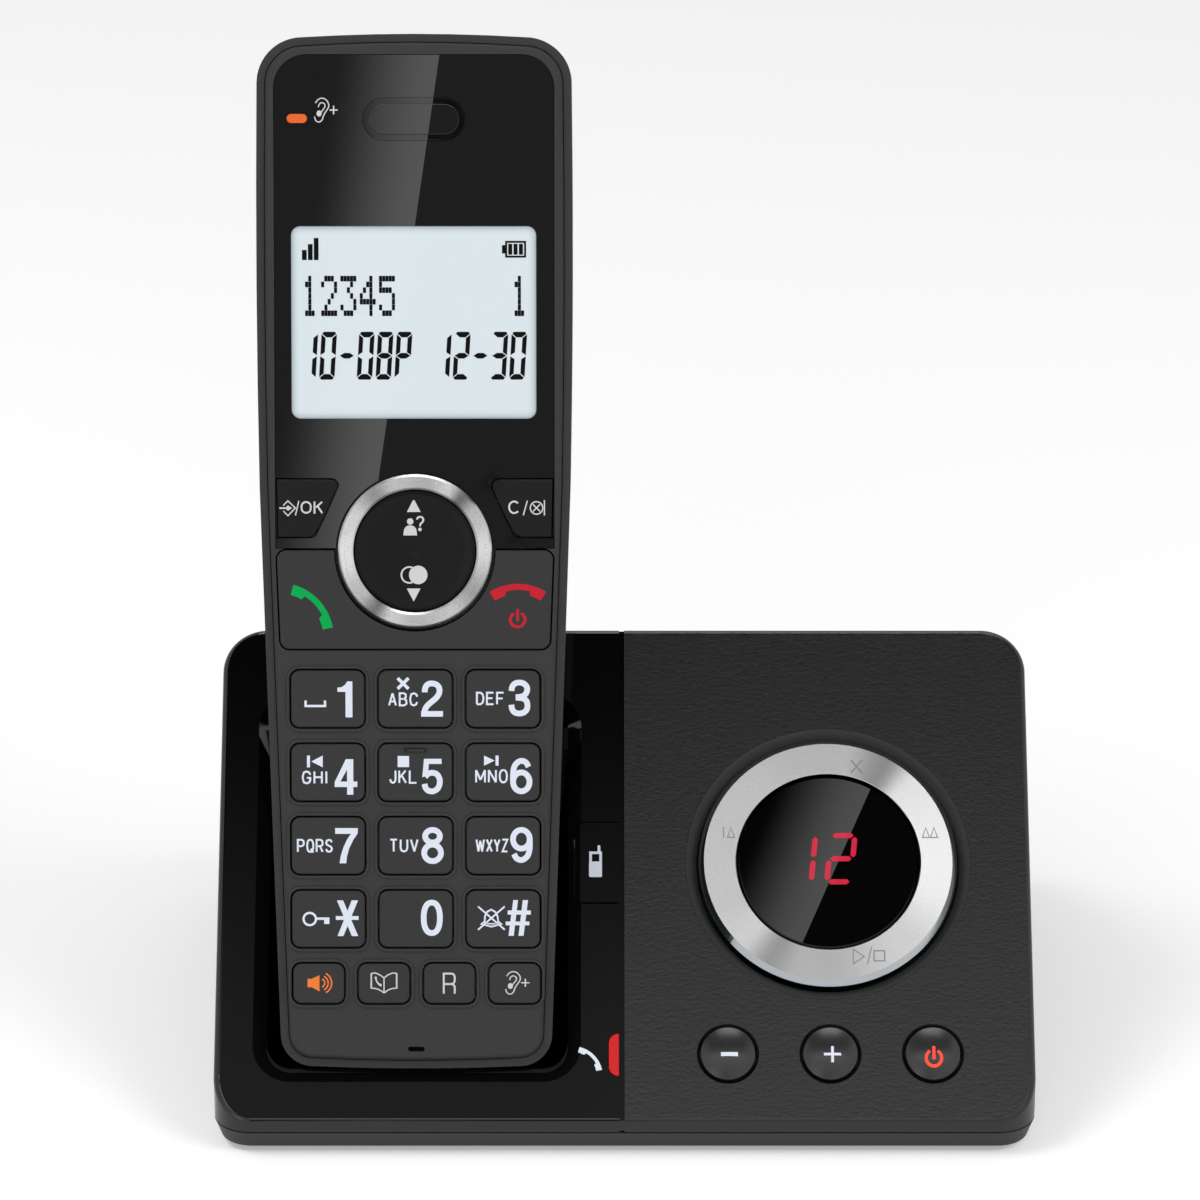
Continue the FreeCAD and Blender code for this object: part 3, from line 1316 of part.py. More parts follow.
def handset_sounder():
    """Hands-free sounder behind the slots in the back."""
    low = S.rear_wall - S.handset_thickness + S.rim_gap
    rim = S.sounder_radius - 1
    node("handset_sounder", turned("handset_sounder", dock.shift(0, S.sounder_y), [
        (0, low + 0.3), (S.sounder_radius / 2, low + 0.3), (rim - 0.2, low + 0.8),
        (rim, low), (S.sounder_radius, low), (S.sounder_radius, low + 2),
        (S.sounder_radius * 0.65, low + S.sounder_height), (0, low + S.sounder_height)]))


def indicator_light():
    node("indicator_light", block("indicator_light", dock,
                                  slot(S.led_x, led_y, S.led_half - S.insert_gap,
                                       S.led_radius - S.insert_gap),
                                  -S.mat_top, S.insert_proud))


def keypad_mat():
    low = -(S.mat_top + S.mat_thickness)
    node("keypad_mat", block("keypad_mat", dock,
                             rounded(-S.mat_half, S.mat_half, S.mat_end, S.mat_start, 2.5),
                             low, -S.mat_top))


def handset_board():
    """Circuit board under the keys, with the radio's shield on its back."""
    top = -(S.mat_top + S.mat_thickness)
    low = top - S.phone_board_thickness
    board = block("phone_board_plate", dock,
                  rounded(-S.phone_board_half, S.phone_board_half, S.phone_board_low,
                          S.handset_length - S.phone_board_from_top, S.post_radius), low, top)
    shield = box("phone_shield", dock, -12, 12, S.door_low - 4, S.door_low + 20,
                 low - 2.4, low + 0.5)
    node("handset_board", fuse("handset_board", board, shield))


def nav_ring():
    low = -S.nav_seat
    bevel = S.nav_proud * 0.6
    node("nav_ring", turned("nav_ring", dock.shift(0, S.nav_y), [
        (S.nav_inner, low), (S.nav_outer, low), (S.nav_outer, S.nav_proud - bevel),
        (S.nav_outer - bevel, S.nav_proud), (S.nav_inner + bevel, S.nav_proud),
        (S.nav_inner, S.nav_proud - bevel)]))


def nav_disc():
    """Rocking disc with a dished top and a hidden flange under the ring."""
    dish = 0.35
    node("nav_disc", turned("nav_disc", dock.shift(0, S.nav_y), [
        (0, -S.key_skirt), (2, -S.key_skirt), (2.5, -S.nav_flange_top - S.key_flange_thickness),
        (S.nav_flange, -S.nav_flange_top - S.key_flange_thickness),
        (S.nav_flange, -S.nav_flange_top), (S.nav_disc, -S.nav_flange_top),
        (S.nav_disc, S.nav_disc_proud - 0.3), (S.nav_disc - 0.5, S.nav_disc_proud),
        (S.nav_disc - 1.6, S.nav_disc_proud - dish * 0.5), (0, S.nav_disc_proud - dish)]))


def capped_key(label, sides, corner):
    """Rounded cap over a flange that reaches above and below its opening."""
    left, right, low, high = sides
    skirt = -S.key_skirt
    body = new_body(label + "_cap", dock)
    made = prism(body, rounded(left, right, low, high, corner), skirt, S.key_proud)
    smooth(body, made, "Fillet", S.key_edge, flat_at(S.key_proud))
    flange = box(label + "_flange", dock, left + corner, right - corner,
                 low - S.key_gap - S.key_flange, high + S.key_gap + S.key_flange, skirt,
                 skirt + S.key_flange_thickness)
    return fuse(label, body, flange)


def keys():
    for label, x, y, width, height in key_rows():
        made = capped_key(label, around(x, y, width, height), S.key_corner)
        if label == "key_5":
            bar = box("key_5_bar", dock, x - 1.3, x + 1.3, y + height / 2 - 1.15,
                      y + height / 2 - 0.75, 0, S.key_proud + 0.2)
            made.Label = "key_5_plain"
            made = fuse("key_5", made, bar)
        node(label, made)


def soft_keys():
    skirt = -S.key_skirt
    for side, label in ((-1, "soft_key_left"), (1, "soft_key_right")):
        body = new_body(label + "_cap", dock)
        made = prism(body, soft_outline(side, 0), skirt, S.key_proud)
        made = smooth(body, made, "Fillet", 0.5, upright)
        smooth(body, made, "Fillet", S.key_edge, flat_at(S.key_proud))
        middle = (S.soft_edge_low + S.soft_out_low) / 2 * side
        flange = box(label + "_flange", dock, middle - 2, middle + 2,
                     S.soft_low - S.soft_gap - S.key_flange,
                     S.soft_high + S.soft_gap + S.key_flange, skirt,
                     skirt + S.key_flange_thickness)
        node(label, fuse(label, body, flange))


def talk_off_key():
    """One wide key that rocks to the talk side or the off side."""
    skirt = -S.key_skirt
    body = talk_shape("talk_cap", 0, skirt, S.key_proud, edge=S.key_edge)
    flange = box("talk_flange", dock, -S.talk_half_low / 2, S.talk_half_low / 2,
                 S.talk_low - S.talk_gap - S.key_flange, S.talk_low + 2, skirt,
                 skirt + S.key_flange_thickness)
    node("talk_off_key", fuse("talk_off_key", body, flange))


# ---------------------------------------------------------------- assembly
def build_base():
    outer = wedge("base_outside", as_dim(0), cover_bottom, edge=S.cover_edge)
    inner = wedge("base_inside", S.cover_wall, S.shell_bottom)
    cradle_cover(outer, inner)
    control_cover(outer, inner)
    base_lower_shell()
    rubber_feet()
    base_screws()
    dial_ring()
    dial_pad()
    display_lens()
    led_display()
    for label, x in zip(("volume_down_button", "volume_up_button", "answer_power_button"),
                        button_places()):
        round_button(label, x)
    page_button()
    message_light()
    panel_board()
    button_mat()
    base_board()
    socket("line_jack", S.line_jack_x, S.line_jack_width, S.line_plug_width,
           S.line_plug_height)
    socket("power_jack", S.power_jack_x, S.power_jack_width, S.power_plug_width,
           S.power_plug_height)
    loudspeaker()
    charge_pins()


def build_handset():
    handset_front_shell()
    handset_rear_shell()
    battery_door()
    batteries()
    battery_contacts()
    charge_strips()
    handset_screws()
    display_window()
    lcd_module()
    earpiece_insert()
    earpiece_speaker()
    microphone()
    handset_sounder()
    indicator_light()
    keypad_mat()
    handset_board()
    nav_ring()
    nav_disc()
    keys()
    soft_keys()
    talk_off_key()


def check_document():
    doc.recompute()
    faults = ["%s (%s): %s" % (item.Label, item.TypeId, item.State) for item in doc.Objects
              if "Invalid" in item.State or "Error" in item.State]
    faults += [label + " has no valid solid" for label, item in NODES.items()
               if item.Shape.isNull() or not item.Shape.isValid() or not item.Shape.Solids]
    if faults:
        raise RuntimeError("; ".join(faults))


def write_parts():
    os.makedirs("parts", exist_ok=True)
    for label, item in NODES.items():
        item.Shape.exportStep("parts/%s.step" % label)
        print(label, len(item.Shape.Solids), "solids, %.1f mm3" % item.Shape.Volume)


build_base()
build_handset()
check_document()
write_parts()
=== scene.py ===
# %% [markdown]
# # A cordless telephone standing in its answering-machine base
#
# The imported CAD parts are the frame: every shell, key and button is already in its place.
# This lesson gives each part the finish that it is moulded, pressed or printed in, adds the
# printed legends, the lit display and the polished dial, and sets the stage and the lamps.
# Sizes are in millimetres in a part's own flat frame, and one matrix takes them to metres.

# %% Load the frame and keep its box
import itertools
import math

import bmesh
import bpy
from mathutils import Matrix, Vector
from mathutils.geometry import interpolate_bezier


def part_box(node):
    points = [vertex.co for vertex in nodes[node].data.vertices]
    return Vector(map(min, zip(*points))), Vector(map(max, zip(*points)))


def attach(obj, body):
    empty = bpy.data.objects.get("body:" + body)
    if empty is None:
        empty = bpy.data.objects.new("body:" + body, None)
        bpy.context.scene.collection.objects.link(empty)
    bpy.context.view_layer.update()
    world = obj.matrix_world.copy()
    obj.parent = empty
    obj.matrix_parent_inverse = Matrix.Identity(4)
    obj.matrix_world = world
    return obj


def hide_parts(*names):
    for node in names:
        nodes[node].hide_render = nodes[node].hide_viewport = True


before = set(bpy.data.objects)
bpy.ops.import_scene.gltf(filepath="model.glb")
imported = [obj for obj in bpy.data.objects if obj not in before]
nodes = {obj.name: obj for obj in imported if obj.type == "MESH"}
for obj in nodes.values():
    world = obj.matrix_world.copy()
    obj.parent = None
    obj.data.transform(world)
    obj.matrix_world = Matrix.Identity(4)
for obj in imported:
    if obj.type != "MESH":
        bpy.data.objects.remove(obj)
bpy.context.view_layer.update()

# %% [markdown]
# ## Two flat frames
#
# The base's control panel slopes up at 44 degrees, and the docked handset leans back to 70.
# Legends and displays are drawn flat, in millimetres on one of these two faces, and a single
# matrix turns, scales and moves them. That is easier to read than world coordinates.

# %% The panel's and the handset's frames
MM = 0.001


def tilted_frame(x, y, z, tilt):
    turn = Matrix.Rotation(math.radians(tilt), 4, "X")
    return Matrix.Translation(Vector((x, y, z)) * MM) @ turn @ Matrix.Scale(MM, 4)


PANEL = tilted_frame(0, -45, 6.2, 44)
PHONE = tilted_frame(-32.3, -39.03, 11.966, 70)
DIAL_CENTRE, NAV_CENTRE = (32, 42), (0, 80.65)
DIAL = PANEL @ Matrix.Translation((*DIAL_CENTRE, 0))
print("panel normal", [round(v, 3) for v in PANEL.to_3x3().normalized().col[2]])

# %% [markdown]
# ## Camera, floor and light
#
# A long lens looks down at 25 degrees. The room is plain white, and large soft lamps light
# the object evenly. Gloss black and bright metal show what they mirror, so two dark cards
# stand where the gloss parts look, and on each one a pale strip gives a slanting reflection.
# More cards, at the left and overhead, are what the metal, the domes, the textured half and
# the cradle mirror. Most of them fade towards one side, for a soft edge there.

# %% Camera
scene = bpy.context.scene
camera_data = bpy.data.cameras.new("camera")
camera_data.sensor_width = 36
camera_data.lens = 177.75
camera = bpy.data.objects.new("camera", camera_data)
camera.location = (-0.00382, -0.84114, 0.46632)
camera.rotation_euler = (math.radians(65), 0, 0)
scene.collection.objects.link(camera)
scene.camera = camera
scene.view_settings.view_transform = "Standard"


# %% Colours and nodes
def linear(hex_colour):
    """An sRGB hex colour as linear red, green, blue and alpha."""
    parts = [int(hex_colour[i:i + 2], 16) / 255 for i in (1, 3, 5)]
    return [p / 12.92 if p <= 0.04045 else ((p + 0.055) / 1.055) ** 2.4 for p in parts] + [1]


def set_inputs(tree, node, inputs):
    """Sets a node's inputs. Each is a value, or the output that feeds it."""
    for name, value in dict(inputs).items():
        if isinstance(value, bpy.types.NodeSocket):
            tree.links.new(value, node.inputs[name])
        else:
            node.inputs[name].default_value = value


def add_node(tree, kind, inputs=(), **settings):
    """Adds a node, with its settings and then its inputs."""
    node = tree.nodes.new("ShaderNode" + kind)
    for name, value in settings.items():
        setattr(node, name, value)
    set_inputs(tree, node, inputs)
    return node


def maths(tree, operation, first, second):
    """The output of a maths node."""
    return add_node(tree, "Math", {0: first, 1: second}, operation=operation).outputs[0]


def vector_maths(tree, operation, *values):
    """The output of a vector maths node, which is a number for some operations."""
    node = add_node(tree, "VectorMath", dict(enumerate(values)), operation=operation)
    return node.outputs["Value" if operation in ("DOT_PRODUCT", "LENGTH") else "Vector"]


def remap(tree, value, to_low, to_high, low=0, high=1, **settings):
    """A value taken from the range low to high to another range."""
    return add_node(tree, "MapRange", {
        "Value": value, "From Min": low, "From Max": high, "To Min": to_low,
        "To Max": to_high}, **settings).outputs[0]


def object_place(tree):
    return add_node(tree, "TexCoord").outputs["Object"]


def new_material(name):
    """A new material, its node tree and its main shader."""
    material = bpy.data.materials.new(name)
    material.use_nodes = True
    return material, material.node_tree, material.node_tree.nodes["Principled BSDF"]


# %% The white room
WHITE = (1, 1, 1, 1)
ROOM_LIGHT = 0.45
world = bpy.data.worlds.new("room")
scene.world = world
world.use_nodes = True


def sees_background(tree):
    """1 for camera, glossy and transmission rays, 0 for the rays that light the object."""
    path = add_node(tree, "LightPath").outputs
    seen = maths(tree, "MAXIMUM", path["Is Camera Ray"], path["Is Glossy Ray"])
    return maths(tree, "MAXIMUM", seen, path["Is Transmission Ray"])


def light_room(tree):
    strength = remap(tree, sees_background(tree), ROOM_LIGHT, 1)
    set_inputs(tree, tree.nodes["Background"], {"Color": WHITE, "Strength": strength})


light_room(world.node_tree)


# %% Lamps
LAMP_AIM = Vector((0, 0, 0.06))


def softbox(name, place, width, height, watts):
    """A soft lamp that lights the object but shows in no reflection."""
    data = bpy.data.lights.new(name, "AREA")
    data.shape = "RECTANGLE"
    data.size, data.size_y, data.energy = width, height, watts
    lamp = bpy.data.objects.new(name, data)
    lamp.location = place
    lamp.rotation_euler = (LAMP_AIM - Vector(place)).to_track_quat("-Z", "Y").to_euler()
    lamp.visible_glossy = False
    scene.collection.objects.link(lamp)


softbox("left_softbox", (-0.56, -0.12, 0.88), 0.45, 0.45, 3.4)
softbox("right_softbox", (0.66, -0.44, 0.72), 0.45, 0.45, 3.3)
softbox("front_fill", (-0.1, -1.3, 0.35), 0.9, 0.5, 3.0)

# %% Floor and cards
RAYS = ("camera", "diffuse", "glossy", "transmission", "shadow")
FLOOR_HALF, FLOOR_GLOW = 6, 0.3


def box_corners(left, right, low, high):
    """The corners of a flat box, anticlockwise from its lower left one."""
    return [(left, low), (right, low), (right, high), (left, high)]


def stage_plane(name, corners, material, shows=RAYS):
    """A flat stage piece that only the named kinds of ray can see."""
    mesh = bpy.data.meshes.new(name)
    mesh.from_pydata(corners, [], [tuple(range(len(corners)))])
    mesh.materials.append(material)
    plane = bpy.data.objects.new(name, mesh)
    scene.collection.objects.link(plane)
    for kind in RAYS:
        setattr(plane, "visible_" + kind, kind in shows)


def floor_material():
    material, tree, paint = new_material("white_floor")
    set_inputs(tree, paint, {
        "Base Color": linear("#ececec"), "Roughness": 0.9, "Specular IOR Level": 0,
        "Emission Color": WHITE,
        "Emission Strength": maths(tree, "MULTIPLY", sees_background(tree), FLOOR_GLOW)})
    return material


def card_material(name, low, high=None, across=(1, 0, 0), start=0.0, end=1.0):
    """Gives off light, evenly, or going from low to high along a direction."""
    material, tree, shader = new_material(name)
    tree.nodes.remove(shader)
    strength = low
    if high is not None:
        along = vector_maths(tree, "DOT_PRODUCT", object_place(tree), across)
        strength = remap(tree, along, low, high, start, end, interpolation_type="SMOOTHSTEP")
    emission = add_node(tree, "Emission", {"Strength": strength})
    set_inputs(tree, tree.nodes["Material Output"], {"Surface": emission.outputs[0]})
    return material


def card(name, corners, *light):
    """A studio card that shows only in reflections."""
    stage_plane(name, corners, card_material(*light), ("glossy",))


def upright(left, right, low, high, y):
    return [(x, y, z) for x, z in box_corners(left, right, low, high)]


def overhead(left, right, front, back, z):
    return [(x, y, z) for x, y in reversed(box_corners(left, right, front, back))]


stage_plane("floor", [(x * FLOOR_HALF, y * FLOOR_HALF, 0) for x, y in box_corners(-1, 1, -1, 1)],
            floor_material())
# A strip's bright edge slants, so its light rises square to that edge.
FRONT_SLANT, LENS_SLANT, TO_REAR = (1, 0, -0.1283), (1, -0.3834, 0), (0, 1, 0)
card("front_dark_card", upright(-0.26, 0.1, 0.35, 0.9, -1.6), "black_card", 0.01)
card("front_strip", [(-0.17, -1.59, 0.5), (-0.1068, -1.59, 0.5), (-0.0683, -1.59, 0.8),
                     (-0.17, -1.59, 0.8)],
     "front_strip_light", 0, 1.9, FRONT_SLANT, -0.218, -0.171)
card("left_bright_card", upright(-1.1, -0.5, 0.3, 0.9, -1.5), "bright_card", 2.2)
card("top_shade", overhead(-1.0, 1.0, -1.3, 0.4, 1.5),
     "top_shade_card", 2.4, 0, TO_REAR, -1.0, -0.66)
card("dome_card", overhead(-0.3, 0.45, 0.05, 0.62, 1.46),
     "dome_card_light", 0, 5.0, TO_REAR, 0.05, 0.3)
card("cradle_card", overhead(-0.21, 0.03, -0.88, -0.57, 1.48),
     "cradle_card_shade", 0.24, 0, TO_REAR, -0.82, -0.6)
card("lens_card", overhead(0.035, 0.15, -0.775, -0.655, 1.48), "lens_card_shade", 0.01)
card("lens_strip", [(0.04, -0.66, 1.47), (0.1128, -0.66, 1.47), (0.0706, -0.77, 1.47),
                    (0.04, -0.77, 1.47)],
     "lens_strip_light", 0, 1.8, LENS_SLANT, 0.325, 0.3658)

# %% [markdown]
# ## Moulded plastics
#
# Almost everything here is ABS from an injection mould. What the eye reads is the mould's
# surface: polished steel gives gloss black, spark-eroded steel a fine grain, and a blasted
# one an even matt. One function makes them all, and two sizes set the grain.


# %% A moulded plastic
COAT_ROUGHNESS, MIRROR_ROUGHNESS, ROUGHNESS_SPREAD = 0.03, 0.15, 0.06


def plastic(name, colour, roughness, grain=0.3, depth=0.0, stretch=1.0, mottle=0.0, coat=0.0,
            metal=0.0, glow=0.0, shine=0.3):
    """Principled plastic. grain is the grain's size and depth its height, in millimetres."""
    material, tree, shader = new_material(name)
    tint = linear(colour)
    set_inputs(tree, shader, {"Base Color": tint, "Roughness": roughness, "Metallic": metal,
                              "Specular IOR Level": shine, "Coat Weight": coat,
                              "Coat Roughness": COAT_ROUGHNESS})
    if glow:
        set_inputs(tree, shader, {"Emission Color": tint, "Emission Strength": glow})
    place = add_node(tree, "Mapping", {
        "Vector": object_place(tree),
        "Scale": (1 / (grain * stretch * MM), 1 / (grain * MM), 1 / (grain * MM))})
    fine = add_node(tree, "TexNoise", {"Vector": place.outputs[0], "Scale": 1.0,
                                       "Detail": 2.0, "Roughness": 0.6}).outputs["Fac"]
    if depth:
        bump = add_node(tree, "Bump", {"Height": fine, "Strength": 1.0, "Distance": depth * MM})
        set_inputs(tree, shader, {"Normal": bump.outputs[0]})
    if mottle:
        tone = add_node(tree, "ValToRGB", {"Fac": fine})
        for stop, way in zip(tone.color_ramp.elements, (-1, 1)):
            stop.position = 0.5 + way * 0.25
            stop.color = [c * (1 + way * mottle) for c in tint[:3]] + [1]
        set_inputs(tree, shader, {"Base Color": tone.outputs[0]})
    if roughness > MIRROR_ROUGHNESS:
        set_inputs(tree, shader, {"Roughness": remap(
            tree, fine, roughness - ROUGHNESS_SPREAD, roughness + ROUGHNESS_SPREAD)})
    return material


def dress(material, *names):
    for name in names:
        nodes[name].material_slots[0].material = material


# %% [markdown]
# ## The handset's shells and keys
#
# Matt ABS, moulded against a blasted tool: the light spreads evenly, and a grain of a few
# tenths of a millimetre keeps it from looking like paint. The keys are the same plastic
# from a smoother tool, so they read slightly darker.

# %% Handset plastics
matt_abs = plastic("matt_abs", "#373738", 0.55, grain=0.28, depth=0.006, mottle=0.07,
                   shine=0.15)
key_abs = plastic("key_abs", "#333334", 0.5, grain=0.22, depth=0.004, mottle=0.06,
                  shine=0.15)
dress(matt_abs, "handset_front_shell", "handset_rear_shell", "battery_door")
KEY_NODES = ["key_%s" % n for n in list(range(10)) + ["star", "hash"]]
KEY_NODES += ["speaker_key", "phonebook_key", "recall_key", "boost_key"]
dress(key_abs, *KEY_NODES, "talk_off_key")
soft_key_abs = plastic("soft_key_abs", "#1a1a1b", 0.42, grain=0.22, depth=0.004, mottle=0.06,
                       shine=0.1)
dress(soft_key_abs, "soft_key_left", "soft_key_right")

# %% [markdown]
# ## Gloss parts
#
# The window, the dial's lens and the cradle half of the base come from polished tools. Their
# own colour is nearly black, so almost all that shows is the mirrored room. The window is a
# clear pane printed black from behind, so its front mirrors without any blur.

# %% Gloss plastics
window_gloss = plastic("printed_acrylic", "#1e1e1f", 0.0, shine=0.5)
cover_gloss = plastic("polished_abs", "#090909", 0.06, shine=0.5)
lens_gloss = plastic("smoked_lens", "#050505", 0.0, shine=0.5)
dress(window_gloss, "display_window", "earpiece_insert")
dress(cover_gloss, "cradle_cover", "page_button")
dress(lens_gloss, "display_lens", "led_display")
dress(plastic("gloss_rubber_disc", "#171718", 0.35, grain=0.2, depth=0.002,
              shine=0.1), "nav_disc")

# %% [markdown]
# ## The base's matt parts
#
# The control half has a spark-eroded texture whose grain runs slightly along the base, like
# fine leather. The tray, the feet and the sockets are plainer mouldings.

# %% Base plastics
control_abs = plastic("spark_textured_abs", "#0e0e0f", 0.3, grain=0.5, depth=0.024,
                      stretch=1.8, mottle=0.1, shine=0.5)
dress(control_abs, "control_cover")
dress(plastic("tray_abs", "#313132", 0.5, grain=0.3, depth=0.008, mottle=0.06),
      "base_lower_shell")
dress(plastic("button_abs", "#242425", 0.3, grain=0.2, depth=0.002, shine=0.5),
      "volume_down_button", "volume_up_button", "answer_power_button")
dress(plastic("foot_rubber", "#1c1c1c", 0.8, grain=0.5, depth=0.02), "rubber_feet")
dress(plastic("mat_rubber", "#9a9da0", 0.6, grain=0.4), "dial_pad", "button_mat",
      "keypad_mat")
dress(plastic("socket_nylon", "#1a1a1a", 0.4), "line_jack", "power_jack")
dress(plastic("speaker_paper", "#111111", 0.8, grain=0.3, depth=0.02), "loudspeaker",
      "earpiece_speaker", "microphone", "handset_sounder")
dress(plastic("green_solder_mask", "#14402a", 0.35), "panel_board", "base_board",
      "handset_board")
dress(plastic("cell_sleeve", "#2f7a48", 0.3, coat=0.5), "batteries")
dress(plastic("lcd_frame_plastic", "#d8dcdc", 0.4), "lcd_module")
dress(plastic("nickel_steel", "#b9babb", 0.3, metal=1.0), "battery_contacts")
dress(plastic("zinc_steel", "#8d9092", 0.35, metal=1.0), "base_screws", "handset_screws")
gold_plate = plastic("gold_plate", "#e0b25a", 0.25, metal=1.0)
dress(gold_plate, "charge_strips", "charge_pins")
dress(plastic("red_light_guide", "#c41219", 0.3, coat=0.2, glow=0.12), "message_light")
dress(plastic("orange_light_guide", "#dc5f22", 0.3, coat=0.1, glow=0.1), "indicator_light")


# %% [markdown]
# ## Satin and brushed metal
#
# The dial and the navigation ring are stamped aluminium, spun against an abrasive so that
# the scratches run round. Such a surface spreads light across the scratches only, which
# gives the bright and dark wedges that meet at the middle. Cycles calls that anisotropy,
# and its tangent has to run round each ring's own middle. The wedges of a narrow ring are
# faint in an even room, so the strongest ones are also painted into its colour, by a ramp
# round the clock: painted highlights and painted shade.

# %% Spun aluminium
SPECK_SIZE, SCRATCH_DEPTH = 0.2, 0.002


def spun_metal(name, roughness, centre, axis_frame, painted_sheen, anisotropy=0.5, grain=0.12):
    """Spun aluminium. Its painted highlights and shade are grey tones by the clock:
    degrees from the top, and a tone.
    """
    material, tree, shader = new_material(name)
    middle = axis_frame @ Vector((*centre, 0))
    side, up, axis = (tuple(way) for way in axis_frame.to_3x3().normalized().col)
    where = vector_maths(tree, "SUBTRACT", object_place(tree), middle)
    along = vector_maths(tree, "NORMALIZE", vector_maths(tree, "CROSS_PRODUCT", axis, where))
    distance = vector_maths(tree, "LENGTH", where)
    lines = add_node(tree, "TexNoise", {
        "W": maths(tree, "MULTIPLY", distance, 1 / (grain * MM)), "Scale": 1.0, "Detail": 2.0},
        noise_dimensions="1D").outputs["Fac"]
    speck = add_node(tree, "TexNoise", {"Vector": where, "Scale": 1 / (SPECK_SIZE * MM),
                                        "Detail": 2.0}).outputs["Fac"]
    both = maths(tree, "ADD", lines, speck)
    bump = add_node(tree, "Bump", {"Height": both, "Strength": 0.5,
                                   "Distance": SCRATCH_DEPTH * MM})
    right_of, above = (vector_maths(tree, "DOT_PRODUCT", where, way) for way in (side, up))
    clock = maths(tree, "ARCTAN2", right_of, above)
    tone = add_node(tree, "ValToRGB", {"Fac": remap(tree, clock, 0, 1, -math.pi, math.pi)})
    tone.color_ramp.interpolation = "EASE"
    stops = tone.color_ramp.elements
    for _ in painted_sheen[2:]:
        stops.new(0.5)
    for stop, (degrees, grey) in zip(stops, painted_sheen):
        stop.position = (degrees + 180) / 360
        stop.color = (grey, grey, grey, 1)
    toned = add_node(tree, "VectorMath", {
        0: tone.outputs[0], "Scale": remap(tree, speck, 0.93, 1.07, 0.3, 0.7)},
        operation="SCALE")
    set_inputs(tree, shader, {
        "Base Color": toned.outputs[0], "Metallic": 1, "Anisotropic": anisotropy,
        "Roughness": remap(tree, both, roughness - 0.05, roughness + 0.08, 0.6, 1.4),
        "Tangent": along, "Normal": bump.outputs[0]})
    return material


# Painted highlights and painted shade of each ring, as greys by the clock.
# Degrees run from -180 to 180, clockwise from the top, and the ends meet at the bottom.
DIAL_PAINTED_SHEEN = [(-180, 0.53), (-165, 0.54), (-150, 0.38), (-134, 0.74), (-110, 0.64),
               (-80, 0.62), (-30, 0.70), (8, 0.74), (30, 0.38), (46, 1.0), (65, 0.98),
               (100, 1.0), (140, 0.72), (180, 0.53)]
NAV_PAINTED_SHEEN = [(-180, 0.54), (-160, 0.70), (-146, 0.22), (-128, 0.62), (-92, 1.0), (-60, 0.85),
              (-35, 0.38), (-18, 0.62), (10, 0.50), (28, 0.74), (41, 0.20), (58, 0.66),
              (88, 0.95), (125, 0.48), (150, 0.70), (180, 0.54)]
dial_satin = spun_metal("satin_aluminium", 0.36, DIAL_CENTRE, PANEL, DIAL_PAINTED_SHEEN)
nav_satin = spun_metal("brushed_aluminium", 0.3, NAV_CENTRE, PHONE, NAV_PAINTED_SHEEN, 0.7)
dial_chrome = plastic("bright_chrome", "#aeb2b6", 0.1, metal=1.0)
dress(nav_satin, "nav_ring")


# %% [markdown]
# ## Pieces of our own
#
# A new piece starts as a bmesh drawn in millimetres. One function moves it to its frame,
# makes it an object at the origin and sets it on the body that it travels with.

# %% Make a piece
def make_piece(name, bm, where, materials, body, stands_for=None):
    bmesh.ops.transform(bm, matrix=where, verts=bm.verts)
    bmesh.ops.remove_doubles(bm, verts=bm.verts, dist=0.0005 * MM)
    bmesh.ops.recalc_face_normals(bm, faces=bm.faces)
    mesh = bpy.data.meshes.new(name)
    bm.to_mesh(mesh)
    bm.free()
    for material in materials:
        mesh.materials.append(material)
    made = bpy.data.objects.new(name, mesh)
    bpy.context.scene.collection.objects.link(made)
    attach(made, body)
    if stands_for:
        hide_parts(stands_for)
    return made


def turned_ring(profile, steps=160):
    """Spins a closed profile of radius and height about the Z axis."""
    bm = bmesh.new()
    corners = [bm.verts.new((radius, 0, height)) for radius, height in profile]
    edges = [bm.edges.new((corners[i - 1], corners[i])) for i in range(len(corners))]
    bmesh.ops.spin(bm, geom=corners + edges, cent=(0, 0, 0), axis=(0, 0, 1),
                   angle=math.tau, steps=steps, use_merge=True, use_duplicate=False)
    bmesh.ops.remove_doubles(bm, verts=bm.verts, dist=0.001)
    return bm


# %% [markdown]
# ## The dial ring
#
# The real ring is one pressing: a flat satin face, a polished bevel cut by a diamond tool,
# and a plated side wall. The CAD node has the same shape in one finish, so the ring is spun
# again from its profile and the bevel and wall get the bright finish.

# %% Dial ring
RING_FACE, RING_OUTER, RING_LIP, RING_BORE = 19.5, 20.0, 20.3, 14.5
RING_TOP, RING_LOW, BORE_EDGE = 1.0, -2.7, 0.1


def dial_ring():
    bm = turned_ring([(RING_BORE, RING_LOW), (RING_OUTER, RING_LOW), (RING_OUTER, -0.7),
                      (RING_LIP, -0.3), (RING_LIP, 0.05), (RING_FACE, RING_TOP),
                      (RING_BORE + BORE_EDGE, RING_TOP), (RING_BORE, RING_TOP - BORE_EDGE)])
    for face in bm.faces:
        middle = face.calc_center_median()
        flat = abs(face.normal.z) > 0.99 and middle.z > RING_TOP - 0.01
        face.material_index = 0 if flat else 1
    return make_piece("dial_ring_face", bm, DIAL, [dial_satin, dial_chrome], "dial_ring",
                      "dial_ring")


ring = dial_ring()
print("dial ring:", len(ring.data.polygons), "faces")

